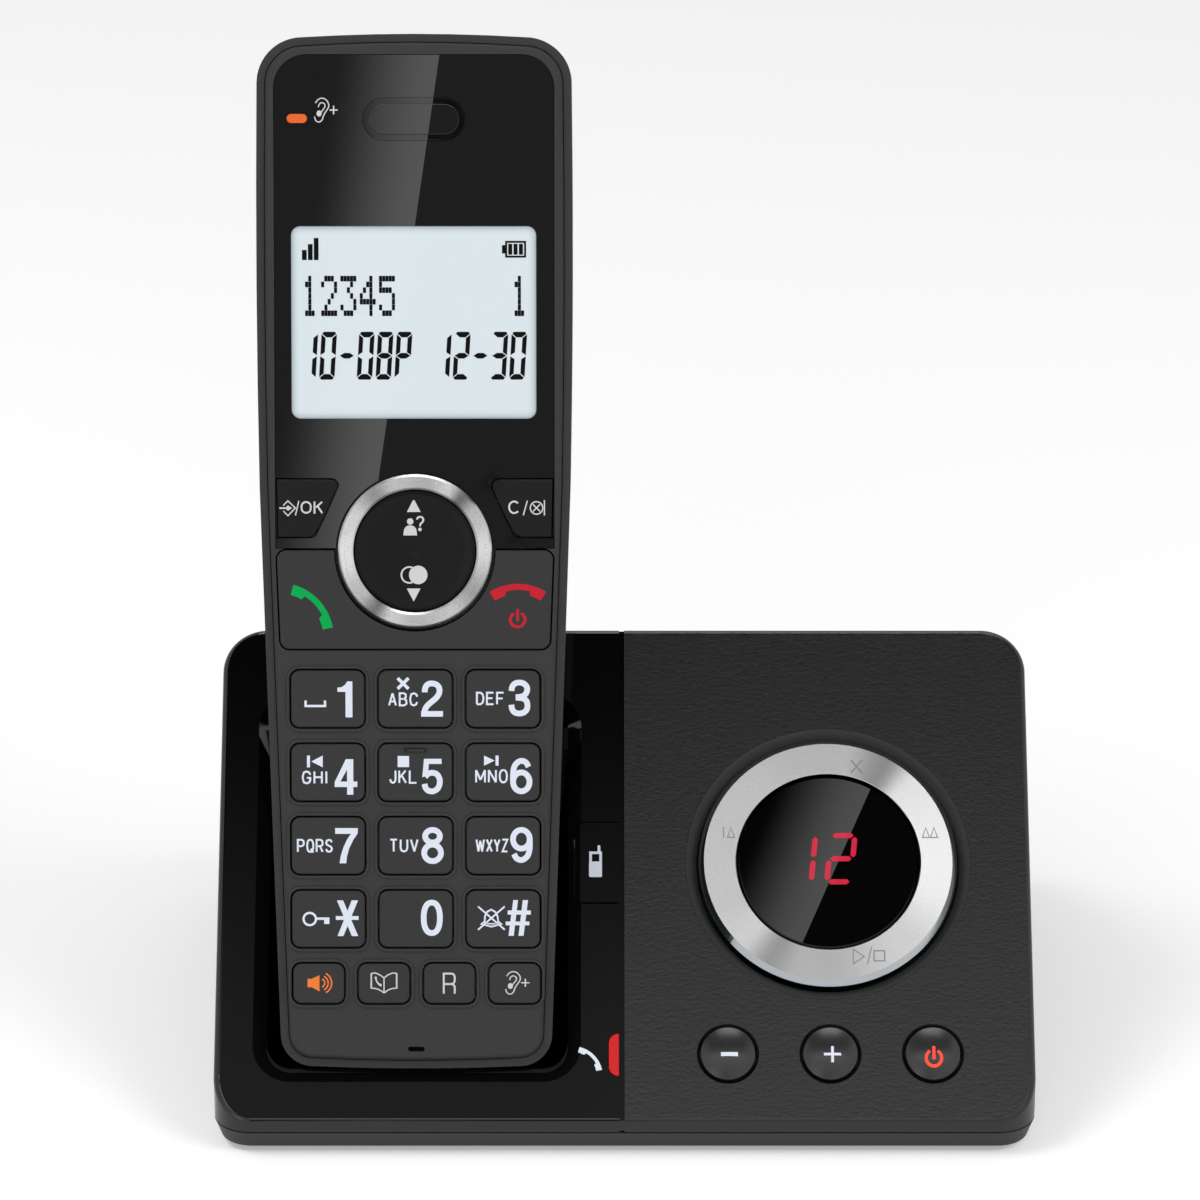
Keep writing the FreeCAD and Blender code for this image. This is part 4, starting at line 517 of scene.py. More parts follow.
# %% Chamfer of the dial's recess
# The recess opens in a chamfer that is smoother than the cover, as a film on its cone.
# The film is a much paler grey than the cover: painted light, for the light on the cone.
CHAMFER_IN, CHAMFER_OUT, CHAMFER_DEEP, FILM = 20.65, 22.35, 1.93, 0.06
chamfer = turned_ring([(CHAMFER_IN, -CHAMFER_DEEP), (CHAMFER_OUT, -0.03),
                       (CHAMFER_OUT, FILM - 0.03), (CHAMFER_IN, FILM - CHAMFER_DEEP)])
make_piece("dial_chamfer", chamfer, DIAL,
           [plastic("chamfer_painted_light", "#3c3c3d", 0.45, grain=0.25, depth=0.004, mottle=0.06)],
           "base")


# %% [markdown]
# ## How the legends are drawn
#
# A print is a film a few hundredths of a millimetre thick. It is drawn flat with patches,
# discs, strokes and letters, thickened, and draped over the cap that carries it, so it has
# real edges and follows a dome. Strokes are ribbons of quads, mitred at their corners.

# %% Drawing tools
PRINT = 0.03
STEP_UP = 0.002
levels = itertools.cycle([STEP_UP * step for step in range(9)])


def patch(bm, points):
    """A flat face. Each new one lies a hair above the last, so that none share a plane."""
    level = next(levels)
    bm.faces.new([bm.verts.new((x, y, level)) for x, y in points])


def disc(bm, x, y, across, along=None, steps=24):
    """A filled circle, or an ellipse where a second radius is given."""
    level = next(levels)
    shape = Matrix.Diagonal((across, along or across, 1, 1))
    bmesh.ops.create_circle(bm, cap_ends=True, segments=steps, radius=1,
                            matrix=Matrix.Translation((x, y, level)) @ shape)


def stroke(bm, points, width, closed=False):
    """A ribbon of even width through the points, mitred at its corners."""
    points = [Vector(p) for p in points]
    runs = len(points) if closed else len(points) - 1
    sides = []
    for i in range(runs):
        run = points[(i + 1) % len(points)] - points[i]
        sides.append(Vector((-run.y, run.x)).normalized())
    left, offsets = [], []
    level = next(levels)
    for i, point in enumerate(points):
        before = sides[i - 1] if closed or i else sides[0]
        after = sides[i] if i < runs else sides[-1]
        mitre = (before + after).normalized()
        mitre *= width / 2 / max(mitre.dot(after), 0.6)
        left.append(bm.verts.new((*(point + mitre), level)))
        offsets.append(mitre)
    edges = [bm.edges.new((left[i], left[(i + 1) % len(left)])) for i in range(runs)]
    grown = bmesh.ops.extrude_edge_only(bm, edges=edges)["geom"]
    for vert in (g for g in grown if isinstance(g, bmesh.types.BMVert)):
        near = min(range(len(left)), key=lambda i: (left[i].co - vert.co).length)
        vert.co.xy = vert.co.xy - 2 * offsets[near]


def arc(x, y, radius, start, end, steps=16, tall=None, square=2.0):
    """Points on an arc. tall is a second radius, and square over 2 fills out its corners."""
    points = []
    for i in range(steps + 1):
        turn = math.radians(start + (end - start) * i / steps)
        across, along = math.cos(turn), math.sin(turn)
        points.append((x + math.copysign(abs(across) ** (2 / square), across) * radius,
                       y + math.copysign(abs(along) ** (2 / square), along)
                       * (tall or radius)))
    return points


def eased(points, steps=4):
    """The same run of points with smooth bends between them."""
    points = [Vector(p) for p in points]
    guide = [2 * points[0] - points[1]] + points + [2 * points[-1] - points[-2]]
    smooth = []
    for before, a, b, after in zip(guide, guide[1:], guide[2:], guide[3:]):
        smooth += interpolate_bezier(a, a + (b - before) / 6, b - (after - a) / 6, b,
                                     steps + 1)[:-1]
    return [(p.x, p.y) for p in smooth + [points[-1]]]


def in_box(points, box):
    """Turns shares of a box into places in it."""
    left, right, low, high = box
    return [(left + (right - left) * u, low + (high - low) * v) for u, v in points]


def fit(bm, left, right, low, high, turn=0):
    """Turns a whole flat drawing and stretches it to a box."""
    bmesh.ops.rotate(bm, cent=(0, 0, 0), matrix=Matrix.Rotation(math.radians(turn), 3, "Z"),
                     verts=bm.verts)
    xs, ys = [v.co.x for v in bm.verts], [v.co.y for v in bm.verts]
    bmesh.ops.translate(bm, vec=(-min(xs), -min(ys), 0), verts=bm.verts)
    bmesh.ops.scale(bm, vec=((right - left) / (max(xs) - min(xs)),
                             (high - low) / (max(ys) - min(ys)), 1), verts=bm.verts)
    bmesh.ops.translate(bm, vec=(left, low, 0), verts=bm.verts)


def add_fitted(bm, draw, box, turn=0):
    """Draws an icon by itself, fits it to its box and adds it to the film."""
    part = bmesh.new()
    draw(part)
    fit(part, *box, turn)
    mesh = bpy.data.meshes.new("icon")
    part.to_mesh(mesh)
    part.free()
    bm.from_mesh(mesh)
    bpy.data.meshes.remove(mesh)


CURL = [(1, 0.72), (0.85, 0.92), (0.5, 1), (0.15, 0.92), (0, 0.62), (0, 0.38), (0.15, 0.08),
        (0.5, 0), (0.85, 0.08), (1, 0.28)]
BOW = [(0, 0), (0, 1), (0.65, 1), (0.94, 0.9), (1, 0.74), (0.94, 0.57), (0.65, 0.47), (0, 0.47)]
ROUND = arc(0.5, 0.5, 0.5, 90, 450, 24, 0.5, 2.4)


def zigzag(*points):
    """Separate straight runs between the points, for corners too sharp to mitre."""
    return [[a, b] for a, b in zip(points, points[1:])]


# Each letter is a few runs, in shares of its own box.
LETTERS = {
    "A": zigzag((0, 0), (0.5, 1), (1, 0)) + [[(0.2, 0.33), (0.8, 0.33)]],
    "B": [[(0.6, 0.53), (0, 0.53), (0, 1), (0.6, 1), (0.88, 0.9), (0.88, 0.64), (0.6, 0.53),
           (0.95, 0.42), (1, 0.14), (0.65, 0), (0, 0), (0, 0.53)]],
    "C": [CURL], "D": [[(0, 0), (0, 1), (0.55, 1), (0.88, 0.87), (1, 0.6), (1, 0.4),
                        (0.88, 0.13), (0.55, 0), (0, 0)]],
    "E": [[(1, 1), (0, 1), (0, 0), (1, 0)], [(0, 0.52), (0.85, 0.52)]],
    "F": [[(1, 1), (0, 1), (0, 0)], [(0, 0.5), (0.85, 0.5)]],
    "G": [CURL + [(1, 0.46), (0.55, 0.46)]],
    "H": [[(0, 0), (0, 1)], [(1, 0), (1, 1)], [(0, 0.52), (1, 0.52)]],
    "I": [[(0.5, 0), (0.5, 1)]],
    "J": [[(1, 1), (1, 0.26), (0.82, 0.06), (0.5, 0), (0.15, 0.08), (0, 0.3)]],
    "K": [[(0, 0), (0, 1)], [(0.95, 1), (0.05, 0.42)], [(0.35, 0.62), (1, 0)]],
    "L": [[(0, 1), (0, 0), (1, 0)]],
    "M": zigzag((0, 0), (0, 1), (0.5, 0.2), (1, 1), (1, 0)),
    "N": zigzag((0, 0), (0, 1), (1, 0), (1, 1)), "O": [ROUND], "P": [BOW],
    "Q": [ROUND, [(0.6, 0.25), (1, -0.06)]], "R": [BOW, [(0.55, 0.47), (1, 0)]],
    "S": [[(0.95, 0.8), (0.8, 0.95), (0.5, 1), (0.15, 0.92), (0.03, 0.76), (0.15, 0.6),
           (0.5, 0.5), (0.85, 0.4), (0.98, 0.24), (0.85, 0.07), (0.5, 0), (0.18, 0.05),
           (0.02, 0.22)]],
    "T": [[(0, 1), (1, 1)], [(0.5, 0), (0.5, 1)]],
    "U": [[(0, 1), (0, 0.28), (0.15, 0.07), (0.5, 0), (0.85, 0.07), (1, 0.28), (1, 1)]],
    "V": zigzag((0, 1), (0.5, 0), (1, 1)),
    "W": zigzag((0, 1), (0.26, 0), (0.5, 0.9), (0.74, 0), (1, 1)),
    "X": [[(0, 0), (1, 1)], [(0, 1), (1, 0)]],
    "Y": zigzag((0, 1), (0.5, 0.45), (1, 1)) + [[(0.5, 0.5), (0.5, 0)]],
    "Z": [[(0, 1), (1, 1), (0, 0), (1, 0)]]}
LETTER_WIDTHS = {"I": 0.1, "J": 0.8, "M": 1.25, "W": 1.5}
LETTER_GAP = 0.55


def letters(bm, text, left, right, low, high, width=0.29):
    """Narrow capitals drawn with one pen, spread over a box."""
    shares = [LETTER_WIDTHS.get(char, 1.0) for char in text]
    unit = (right - left - width) / (sum(shares) + LETTER_GAP * (len(text) - 1))
    x = left + width / 2
    for char, share in zip(text, shares):
        cell = (x, x + share * unit, low + width / 2, high - width / 2)
        for run in LETTERS[char]:
            stroke(bm, in_box(run, cell), width)
        x += (share + LETTER_GAP) * unit


def thicken(bm, level, height=PRINT, drape=None):
    """Turns the flat drawing into a film that starts just under the given level."""
    for face in bm.faces:
        if face.normal.z < 0:
            face.normal_flip()
    bm.normal_update()
    bmesh.ops.solidify(bm, geom=bm.faces[:], thickness=-height)
    lowest = min(v.co.z for v in bm.verts)
    for vert in bm.verts:
        lift = drape(vert.co.x, vert.co.y) if drape else 0
        vert.co.z += level - height / 2 - lowest + lift


def film_piece(name, film, where, material, body, level, height=PRINT, drape=None):
    """Thickens a flat drawing and makes it a piece of its own."""
    thicken(film, level, height, drape)
    return make_piece(name, film, where, [material], body)


def print_film(name, colour, glow=0.0):
    return plastic(name, colour, 0.5, glow=glow, shine=0.1)


white_print = print_film("white_print", "#dfe5f2")
grey_print = print_film("grey_print", "#cfd0d0")
green_print = print_film("green_print", "#00a650")
red_print = print_film("red_print", "#c4202f")
orange_print = print_film("orange_print", "#f0803c")
lit_red_print = print_film("lit_red_print", "#ff4a38", 0.4)
ring_print = print_film("engraved_grey", "#8b8d8d")

# %% [markdown]
# ## Key rims, soft keys and earpiece
#
# Each key sits in a low moulded rim, which reads as a second line round it. The soft keys
# have rounded inner corners, and the earpiece is a plain pad inside a sunk slot that lets
# the sound out. The CAD nodes are simpler there, so the last two are blocks that stand for
# them: a flat outline is extruded, its corners are bevelled, and insets make the steps.

# %% Blocks from an outline
def round_corners(bm, verts, radius, steps=6):
    bmesh.ops.bevel(bm, geom=verts, offset=radius, offset_type="OFFSET", segments=steps,
                    profile=0.5, affect="VERTICES", material=-1)


def raise_face(bm, face, height):
    """Extrudes a face straight up or down and returns the new one."""
    grown = bmesh.ops.extrude_discrete_faces(bm, faces=[face])["faces"]
    bmesh.ops.translate(bm, vec=(0, 0, height), verts=grown[0].verts)
    return grown[0]


def close_block(bm, shift):
    """Turns the one flat face into a closed block and returns the face that moved."""
    grown = bmesh.ops.extrude_face_region(bm, geom=bm.faces[:])["geom"]
    moved = [g for g in grown if isinstance(g, bmesh.types.BMVert)]
    bmesh.ops.translate(bm, vec=shift, verts=moved)
    return next(g for g in grown if isinstance(g, bmesh.types.BMFace))


def set_in(outline, depth, closed=False):
    """The same outline, moved to its right by a depth and mitred at its corners."""
    points = [Vector(point) for point in outline]
    moved = []
    for i, point in enumerate(points):
        runs = []
        if closed or i:
            runs.append((point - points[i - 1]).normalized())
        if closed or i < len(points) - 1:
            runs.append((points[(i + 1) % len(points)] - point).normalized())
        inward = [Vector((run.y, -run.x)) for run in runs]
        mitre = sum(inward, Vector((0, 0))).normalized()
        moved.append(point + mitre * depth / mitre.dot(inward[0]))
    return moved


def soften(bm, edges, width, steps=3):
    """A small bevel along some edges."""
    bmesh.ops.bevel(bm, geom=list(edges), offset=width, offset_type="OFFSET",
                    segments=steps, profile=0.5, affect="EDGES", material=-1)


# %% Soft keys
CAP_LOW, CAP_TOP, CAP_EDGE, CAP_GAP = -2.0, 0.35, 0.3, 0.2
# Outline of the left cap, from its outer top corner.
SOFT_OUTLINE = ((-21.2, 91.7), (-21.0, 82.8), (-15.6, 82.8), (-13.8, 86.2), (-11.3, 91.7))
SOFT_CORNERS = ((2, 1.2), (4, 1.0))    # which corners are round, and their radius


def corner_reach(outline, i, radius):
    """How far a round corner reaches along its edges, and the ways to its neighbours."""
    points = [Vector(point) for point in outline]
    ways = [(points[j % len(points)] - points[i]).normalized() for j in (i - 1, i + 1)]
    return radius / math.tan(ways[0].angle(ways[1]) / 2), ways


def corner_fill(bm, outline, i, radius, side):
    """Fills one corner of an opening, which makes that corner round."""
    corner = Vector(outline[i])
    reach, ways = corner_reach(outline, i, radius)
    middle = corner + (ways[0] + ways[1]).normalized() * math.hypot(reach, radius)
    start, end = (corner + way * reach - middle for way in ways)
    points = [corner] + [middle + start.lerp(end, t / 8).normalized() * radius
                         for t in range(9)]
    patch(bm, [(-side * point.x, point.y) for point in points])


def soft_cap(side):
    bm = bmesh.new()
    corners = [bm.verts.new((-side * x, y, CAP_LOW)) for x, y in SOFT_OUTLINE]
    bm.faces.new(corners)
    for i, radius in SOFT_CORNERS:
        round_corners(bm, [corners[i]], corner_reach(SOFT_OUTLINE, i, radius)[0])
    soften(bm, close_block(bm, (0, 0, CAP_TOP - CAP_LOW)).edges, CAP_EDGE)
    return bm


for name, side in (("left", -1), ("right", 1)):
    make_piece("soft_cap_" + name, soft_cap(side), PHONE, [soft_key_abs], "soft_key_" + name,
               "soft_key_" + name)
film = bmesh.new()
opening = set_in(SOFT_OUTLINE, CAP_GAP, closed=True)
for side in (-1, 1):
    for i, radius in SOFT_CORNERS:
        corner_fill(film, opening, i, radius + CAP_GAP, side)
film_piece("window_corners", film, PHONE, window_gloss, "handset", -0.48, 1.0)

# %% Earpiece insert
EAR_Y, EAR_LOW, EAR_TOP = 146.9, -1.9, 0.05
EAR_HALF, EAR_RADIUS = 7.84, 3.24
EAR_RIM, EAR_SLOT, EAR_FLOOR, EAR_PAD, EAR_EDGE = 0.1, 0.78, -0.9, -0.02, 0.12


def slot_outline(half, radius):
    """A stadium: two half circles and the straight sides between them."""
    reach = half - radius
    return arc(reach, EAR_Y, radius, -90, 90, 20) + arc(-reach, EAR_Y, radius, 90, 270, 20)


def earpiece():
    bm = bmesh.new()
    bm.faces.new([bm.verts.new((x, y, EAR_LOW)) for x, y in slot_outline(EAR_HALF, EAR_RADIUS)])
    face = close_block(bm, (0, 0, EAR_TOP - EAR_LOW))
    bmesh.ops.inset_region(bm, faces=[face], thickness=EAR_RIM, use_even_offset=True)
    face = raise_face(bm, face, EAR_FLOOR - EAR_TOP)
    bmesh.ops.inset_region(bm, faces=[face], thickness=EAR_SLOT, use_even_offset=True)
    face = raise_face(bm, face, EAR_PAD - EAR_FLOOR)
    soften(bm, face.edges, EAR_EDGE)
    return bm


make_piece("earpiece_pad", earpiece(), PHONE, [window_gloss], "handset",
           "earpiece_insert")

# %% [markdown]
# ## Key legends
#
# Each key carries a bold digit at the right and its small letters at the left, the standard
# telephone layout. All boxes are measured from the key's own centre, so one table and one
# loop print the whole keypad, and every legend rides on its own key.

# %% Keypad table
COLUMNS = (-13.52, 0.0, 13.52)
ROWS = (57.78, 46.37, 34.96, 23.55)
KEY_TOP = 0.35
DIGIT_BOXES = {
    "1": (1.51, 3.82, -2.84, 2.73), "2": (0.90, 4.26, -2.73, 2.82),
    "3": (0.84, 4.23, -2.62, 2.96), "4": (1.04, 4.53, -3.44, 2.08),
    "5": (0.96, 4.26, -3.37, 2.14), "6": (1.06, 4.53, -3.33, 2.28),
    "7": (1.09, 4.57, -2.70, 2.78), "8": (0.83, 4.38, -2.79, 2.91),
    "9": (1.06, 4.59, -2.65, 2.91), "star": (1.14, 4.65, -2.64, 2.93),
    "0": (0.75, 4.17, -2.60, 3.01), "hash": (0.37, 4.26, -2.60, 2.97)}
LETTER_BOXES = {
    "2": ("ABC", -4.19, 0.43, -1.13, 1.04), "3": ("DEF", -4.17, 0.23, -0.95, 1.13),
    "4": ("GHI", -4.02, -0.04, -1.82, 0.31), "5": ("JKL", -4.07, 0.29, -1.74, 0.45),
    "6": ("MNO", -4.31, 0.73, -1.66, 0.53), "7": ("PQRS", -4.84, 0.74, -1.06, 1.10),
    "8": ("TUV", -4.06, 0.44, -1.00, 1.13), "9": ("WXYZ", -4.27, 0.80, -1.00, 1.13)}
KEY_ORDER = ("1", "2", "3", "4", "5", "6", "7", "8", "9", "star", "0", "hash")
key_centres = {name: (COLUMNS[i % 3], ROWS[i // 3]) for i, name in enumerate(KEY_ORDER)}
print("key pitch", round(COLUMNS[1] - COLUMNS[0], 2), "by", round(ROWS[0] - ROWS[1], 2), "mm")


# %% Digits
DIGIT_STROKE = 0.88
BOWL_SIX = arc(0.504, 0.336, 0.367, 0, 360, 28, 0.262)[:-1]
HOOK_SIX = [(0.137, 0.34), (0.135, 0.5), (0.163, 0.68), (0.26, 0.827), (0.48, 0.918),
            (0.704, 0.877), (0.83, 0.75)]
# Each digit is a list of loops, runs and patches, in shares of its own box.
DIGITS = {
    "0": [("loop", arc(0.5, 0.5, 0.366, 0, 360, 36, 0.424, 2.3)[:-1])],
    "1": [("patch", [(1, 0), (0.54, 0), (0.54, 0.71), (0, 0.71), (0, 0.826), (0.29, 0.84),
                     (0.52, 0.91), (0.655, 1), (1, 1)])],
    "2": [("run", [(0.167, 0.68), (0.174, 0.757), (0.227, 0.849), (0.333, 0.908),
                   (0.492, 0.927), (0.674, 0.904), (0.803, 0.835), (0.848, 0.729),
                   (0.803, 0.619), (0.674, 0.514), (0.47, 0.408), (0.303, 0.317),
                   (0.197, 0.225), (0.136, 0.08)]),
          ("patch", box_corners(0, 1, 0, 0.156))],
    "3": [("run", [(0.144, 0.694), (0.167, 0.797), (0.288, 0.896), (0.492, 0.928),
                   (0.705, 0.896), (0.841, 0.797), (0.841, 0.685), (0.75, 0.59),
                   (0.583, 0.536), (0.333, 0.52)]),
          ("run", [(0.333, 0.51), (0.636, 0.491), (0.803, 0.428), (0.864, 0.311),
                   (0.833, 0.18), (0.697, 0.095), (0.492, 0.068), (0.288, 0.099),
                   (0.167, 0.189), (0.136, 0.311)])],
    "4": [("patch", box_corners(0.547, 0.825, 0, 1)),
          ("patch", box_corners(0, 1, 0.217, 0.369)),
          ("patch", [(0, 0.355), (0.496, 1), (0.65, 1), (0.65, 0.83), (0.547, 0.714),
                     (0.255, 0.369), (0.2, 0.3)])],
    "5": [("patch", box_corners(0.11, 0.93, 0.855, 1)),
          ("patch", [(0.11, 1), (0.35, 1), (0.305, 0.657), (0.27, 0.56), (0.023, 0.47)]),
          ("run", [(0.16, 0.49), (0.297, 0.573), (0.477, 0.606), (0.6875, 0.573),
                   (0.82, 0.46), (0.844, 0.319), (0.773, 0.188), (0.633, 0.108),
                   (0.469, 0.08), (0.281, 0.113), (0.172, 0.188), (0.133, 0.291)])],
    "6": [("loop", BOWL_SIX), ("run", HOOK_SIX)],
    "7": [("patch", [(1, 1), (1, 0.854), (0.795, 0.657), (0.62, 0.423), (0.515, 0.188),
                     (0.485, 0), (0.19, 0), (0.242, 0.211), (0.364, 0.455), (0.53, 0.68),
                     (0.7, 0.836), (0, 0.836), (0, 1)])],
    "8": [("loop", arc(0.5, 0.754, 0.32, 0, 360, 28, 0.172)[:-1]),
          ("loop", arc(0.5, 0.3, 0.366, 0, 360, 28, 0.226)[:-1])],
    "9": [("loop", [(1 - u, 1 - v) for u, v in BOWL_SIX]),
          ("run", [(1 - u, 1 - v) for u, v in HOOK_SIX])],
    "star": [("patch", [(0.05, 1), (0.32, 1), (0.98, 0), (0.7, 0)]),
             ("patch", [(0.7, 1), (0.98, 1), (0.33, 0), (0.07, 0)]),
             ("patch", box_corners(0, 1, 0.453, 0.56))],
    "hash": [("patch", [(0.3, 1), (0.49, 1), (0.32, 0), (0.11, 0)]),
             ("patch", [(0.68, 1), (0.89, 1), (0.71, 0), (0.51, 0)]),
             ("patch", box_corners(0.08, 1, 0.594, 0.71)),
             ("patch", box_corners(0, 0.94, 0.295, 0.4))]}


def draw_digit(bm, name, box, width=DIGIT_STROKE):
    for kind, points in DIGITS[name]:
        placed = in_box(points, box)
        if kind == "patch":
            patch(bm, placed)
        elif kind == "loop":
            stroke(bm, placed, width, closed=True)
        else:
            stroke(bm, eased(placed), width)


print(len(DIGITS), "digits and signs")


# %% Key rims
KEY_SIZE, KEY_ROUND = (11.3, 8.8), 1.3
FUNCTION_SIZE = (7.9, 6.2)
FUNCTION_Y, FUNCTION_PITCH = 13.47, 10.12
function_x = [0.1 + FUNCTION_PITCH * (i - 1.5) for i in range(4)]
KEY_GAP, RIM_WIDE, RIM_HIGH, RIM_EDGE = 0.25, 0.42, 0.26, 0.1


def rim_path(x, y, wide, tall):
    """A rounded rectangle as a closed run, in the middle of the rim's width."""
    away = KEY_GAP + RIM_WIDE / 2 + 0.03
    radius = KEY_ROUND + away
    across, along = wide / 2 + away - radius, tall / 2 + away - radius
    path = []
    for quarter, (side_x, side_y) in enumerate(((1, 1), (-1, 1), (-1, -1), (1, -1))):
        path += arc(x + side_x * across, y + side_y * along, radius, quarter * 90,
                    quarter * 90 + 90, 6)
    return path


film = bmesh.new()
for centre in key_centres.values():
    stroke(film, rim_path(*centre, *KEY_SIZE), RIM_WIDE, closed=True)
for x in function_x:
    stroke(film, rim_path(x, FUNCTION_Y, *FUNCTION_SIZE), RIM_WIDE, closed=True)
thicken(film, RIM_HIGH / 2, RIM_HIGH)
rim_edges = [edge for edge in film.edges if edge.calc_face_angle(0) > math.radians(60)]
soften(film, rim_edges, RIM_EDGE, 2)
rims = make_piece("key_rims", film, PHONE, [matt_abs], "handset")
print("key rims:", len(rims.data.polygons), "faces")


# %% Small icons on the keys
def icon_space(bm):
    stroke(bm, [(-3.4, -0.23), (-3.4, -1.08), (-0.41, -1.08), (-0.41, -0.23)], 0.36)


def icon_cross(bm, left=-2.72, right=-1.04, low=1.58, high=3.24, width=0.5):
    stroke(bm, [(left, low), (right, high)], width)
    stroke(bm, [(left, high), (right, low)], width)


def icon_back(bm):
    patch(bm, box_corners(-3.23, -2.76, 0.81, 2.64))
    patch(bm, [(-2.56, 1.72), (-0.79, 0.81), (-0.79, 2.64)])


def icon_stop(bm):
    patch(bm, box_corners(-2.75, -0.99, 0.85, 2.58))


def icon_forward(bm):
    patch(bm, box_corners(-1.16, -0.69, 1.07, 2.64))
    patch(bm, [(-2.94, 1.07), (-1.3, 1.86), (-2.94, 2.64)])


def icon_key(bm):
    stroke(bm, arc(-2.9, 0.02, 0.96, 0, 345, 23), 0.34, closed=True)
    stroke(bm, [(-1.94, 0.08), (0.14, 0.08)], 0.38)
    patch(bm, box_corners(-0.68, 0.14, -0.75, 0.0))


def icon_bell(bm):
    """A bell that two lines cross out: the ringer is silent."""
    stroke(bm, [(-3.4, -0.77), (-2.88, -0.39), (-2.83, 0.49), (-2.52, 1.12), (-1.88, 1.5),
                (-1.23, 1.12), (-0.9, 0.49), (-0.77, -0.39), (-0.26, -0.77),
                (-1.83, -1.17)], 0.26, closed=True)
    stroke(bm, [(-2.5, -0.72), (-1.2, -0.72)], 0.2)
    stroke(bm, [(-3.9, 1.98), (0.22, -1.65)], 0.26)
    stroke(bm, [(0.22, 1.98), (-3.9, -1.65)], 0.26)


KEY_ICONS = {"1": icon_space, "2": icon_cross, "4": icon_back, "5": icon_stop,
             "6": icon_forward, "star": icon_key, "hash": icon_bell}


# %% Print the keypad
def shifted(bm, x, y):
    bmesh.ops.translate(bm, vec=(x, y, 0), verts=bm.verts)


for name, box in DIGIT_BOXES.items():
    film = bmesh.new()
    draw_digit(film, name, box)
    if name in LETTER_BOXES:
        letters(film, *LETTER_BOXES[name])
    if name in KEY_ICONS:
        KEY_ICONS[name](film)
    shifted(film, *key_centres[name])
    film_piece("key_%s_print" % name, film, PHONE, white_print, "key_%s" % name, KEY_TOP)
print(len(DIGIT_BOXES), "key legends")

# %% Bar on the middle key
# A raised outline above the 5 lets a finger find the middle key.
BAR_HALF, BAR_LOW, BAR_HIGH, BAR_THICK = 1.62, 3.24, 3.78, 0.12
film = bmesh.new()
stroke(film, box_corners(-BAR_HALF, BAR_HALF, BAR_LOW, BAR_HIGH), 0.16, closed=True)
shifted(film, *key_centres["5"])
bar_abs = plastic("bar_abs", "#1f1f20", 0.5, grain=0.22, mottle=0.06, shine=0.1)
film_piece("key_5_bar", film, PHONE, bar_abs, "key_5", KEY_TOP, BAR_THICK)

# %% [markdown]
# ## Function keys
#
# The row below the digits has four small keys with line icons: a loudspeaker in orange, a
# telephone book, a plain R and an ear with a plus for the boost. They are drawn as strokes
# of one width, as such icons are. The receiver comes first, because it returns four times:
# a curved handle with two cups, cut from one ring.

# %% Receiver, ear and power icons
RECEIVER_OUT, RECEIVER_IN, CUP_IN = 8.29, 7.37, 6.72


def icon_receiver(bm, handle=RECEIVER_IN):
    """A telephone receiver as one outline round the middle of its arc."""
    patch(bm, arc(0, 0, RECEIVER_OUT, 122, 58, 20) + arc(0, 0, CUP_IN, 58, 73, 4)
          + arc(0, 0, handle, 75, 105, 12) + arc(0, 0, CUP_IN, 107, 122, 4))


def icon_ear(bm):
    """An ear as two bent lines and a lobe, with a plus at its side."""
    stroke(bm, eased([(-1.56, 1.14), (-1.24, 1.59), (-0.87, 1.83), (-0.49, 1.87),
                      (-0.06, 1.71), (0.26, 1.35), (0.44, 0.87), (0.39, 0.45),
                      (0.15, 0.03), (-0.17, -0.45), (-0.39, -0.93), (-0.52, -1.35),
                      (-0.76, -1.67), (-1.11, -1.8), (-1.46, -1.64), (-1.64, -1.3),
                      (-1.7, -0.98)]), 0.18)
    stroke(bm, eased([(-1.13, 0.5), (-1.03, 0.87), (-0.79, 1.14), (-0.49, 1.17),
                      (-0.22, 1.01), (-0.12, 0.72), (-0.22, 0.4), (-0.49, 0.03),
                      (-0.71, -0.29)]), 0.17)
    disc(bm, -1.02, -0.48, 0.38, 0.47)
    stroke(bm, [(0.55, 0.06), (1.78, 0.06)], 0.2)
    stroke(bm, [(1.17, -0.6), (1.17, 0.72)], 0.2)


def icon_power(bm):
    stroke(bm, arc(0, 0, 1.11, 120, 420, 26), 0.42)
    stroke(bm, [(0, -0.2), (0, 1.66)], 0.42)


# %% Function key icons
BOOK_STROKE = 0.19


def icon_speaker(bm):
    patch(bm, [(-1.72, -0.6), (-1.09, -0.6), (0.15, -1.25), (0.15, 1.33), (-1.09, 0.75),
               (-1.72, 0.75)])
    for radius, reach in ((0.68, 68), (1.22, 62), (1.76, 61)):
        stroke(bm, arc(0.3, 0.07, radius, -reach, reach, 12), 0.23)


def icon_book(bm):
    for side in (-1, 1):
        stroke(bm, eased([(0, 0.93), (side * 0.7, 1.42), (side * 1.4, 1.68),
                          (side * 2.0, 1.6)]), BOOK_STROKE)
        stroke(bm, eased([(0, -1.43), (side * 0.7, -0.95), (side * 1.4, -0.72),
                          (side * 2.0, -0.68)]), BOOK_STROKE)
        stroke(bm, [(side * 1.98, -0.75), (side * 1.98, 1.68)], 0.24)
    stroke(bm, [(0, 1.0), (0, -1.4)], BOOK_STROKE)
    add_fitted(bm, lambda part: icon_receiver(part, 7.1), (-1.45, -0.35, -0.45, 1.15), 132)


def icon_r(bm):
    stroke(bm, [(-0.87, -1.56), (-0.87, 1.73)], 0.3)
    stroke(bm, eased([(-0.87, 1.58), (0.3, 1.58), (0.66, 1.45), (0.84, 1.1), (0.84, 0.45),
                      (0.66, 0.1), (0.3, -0.05), (-0.87, -0.05)], 2), 0.3)
    stroke(bm, eased([(0.3, -0.05), (0.66, -0.2), (0.84, -0.55), (0.84, -1.56)], 3), 0.3)


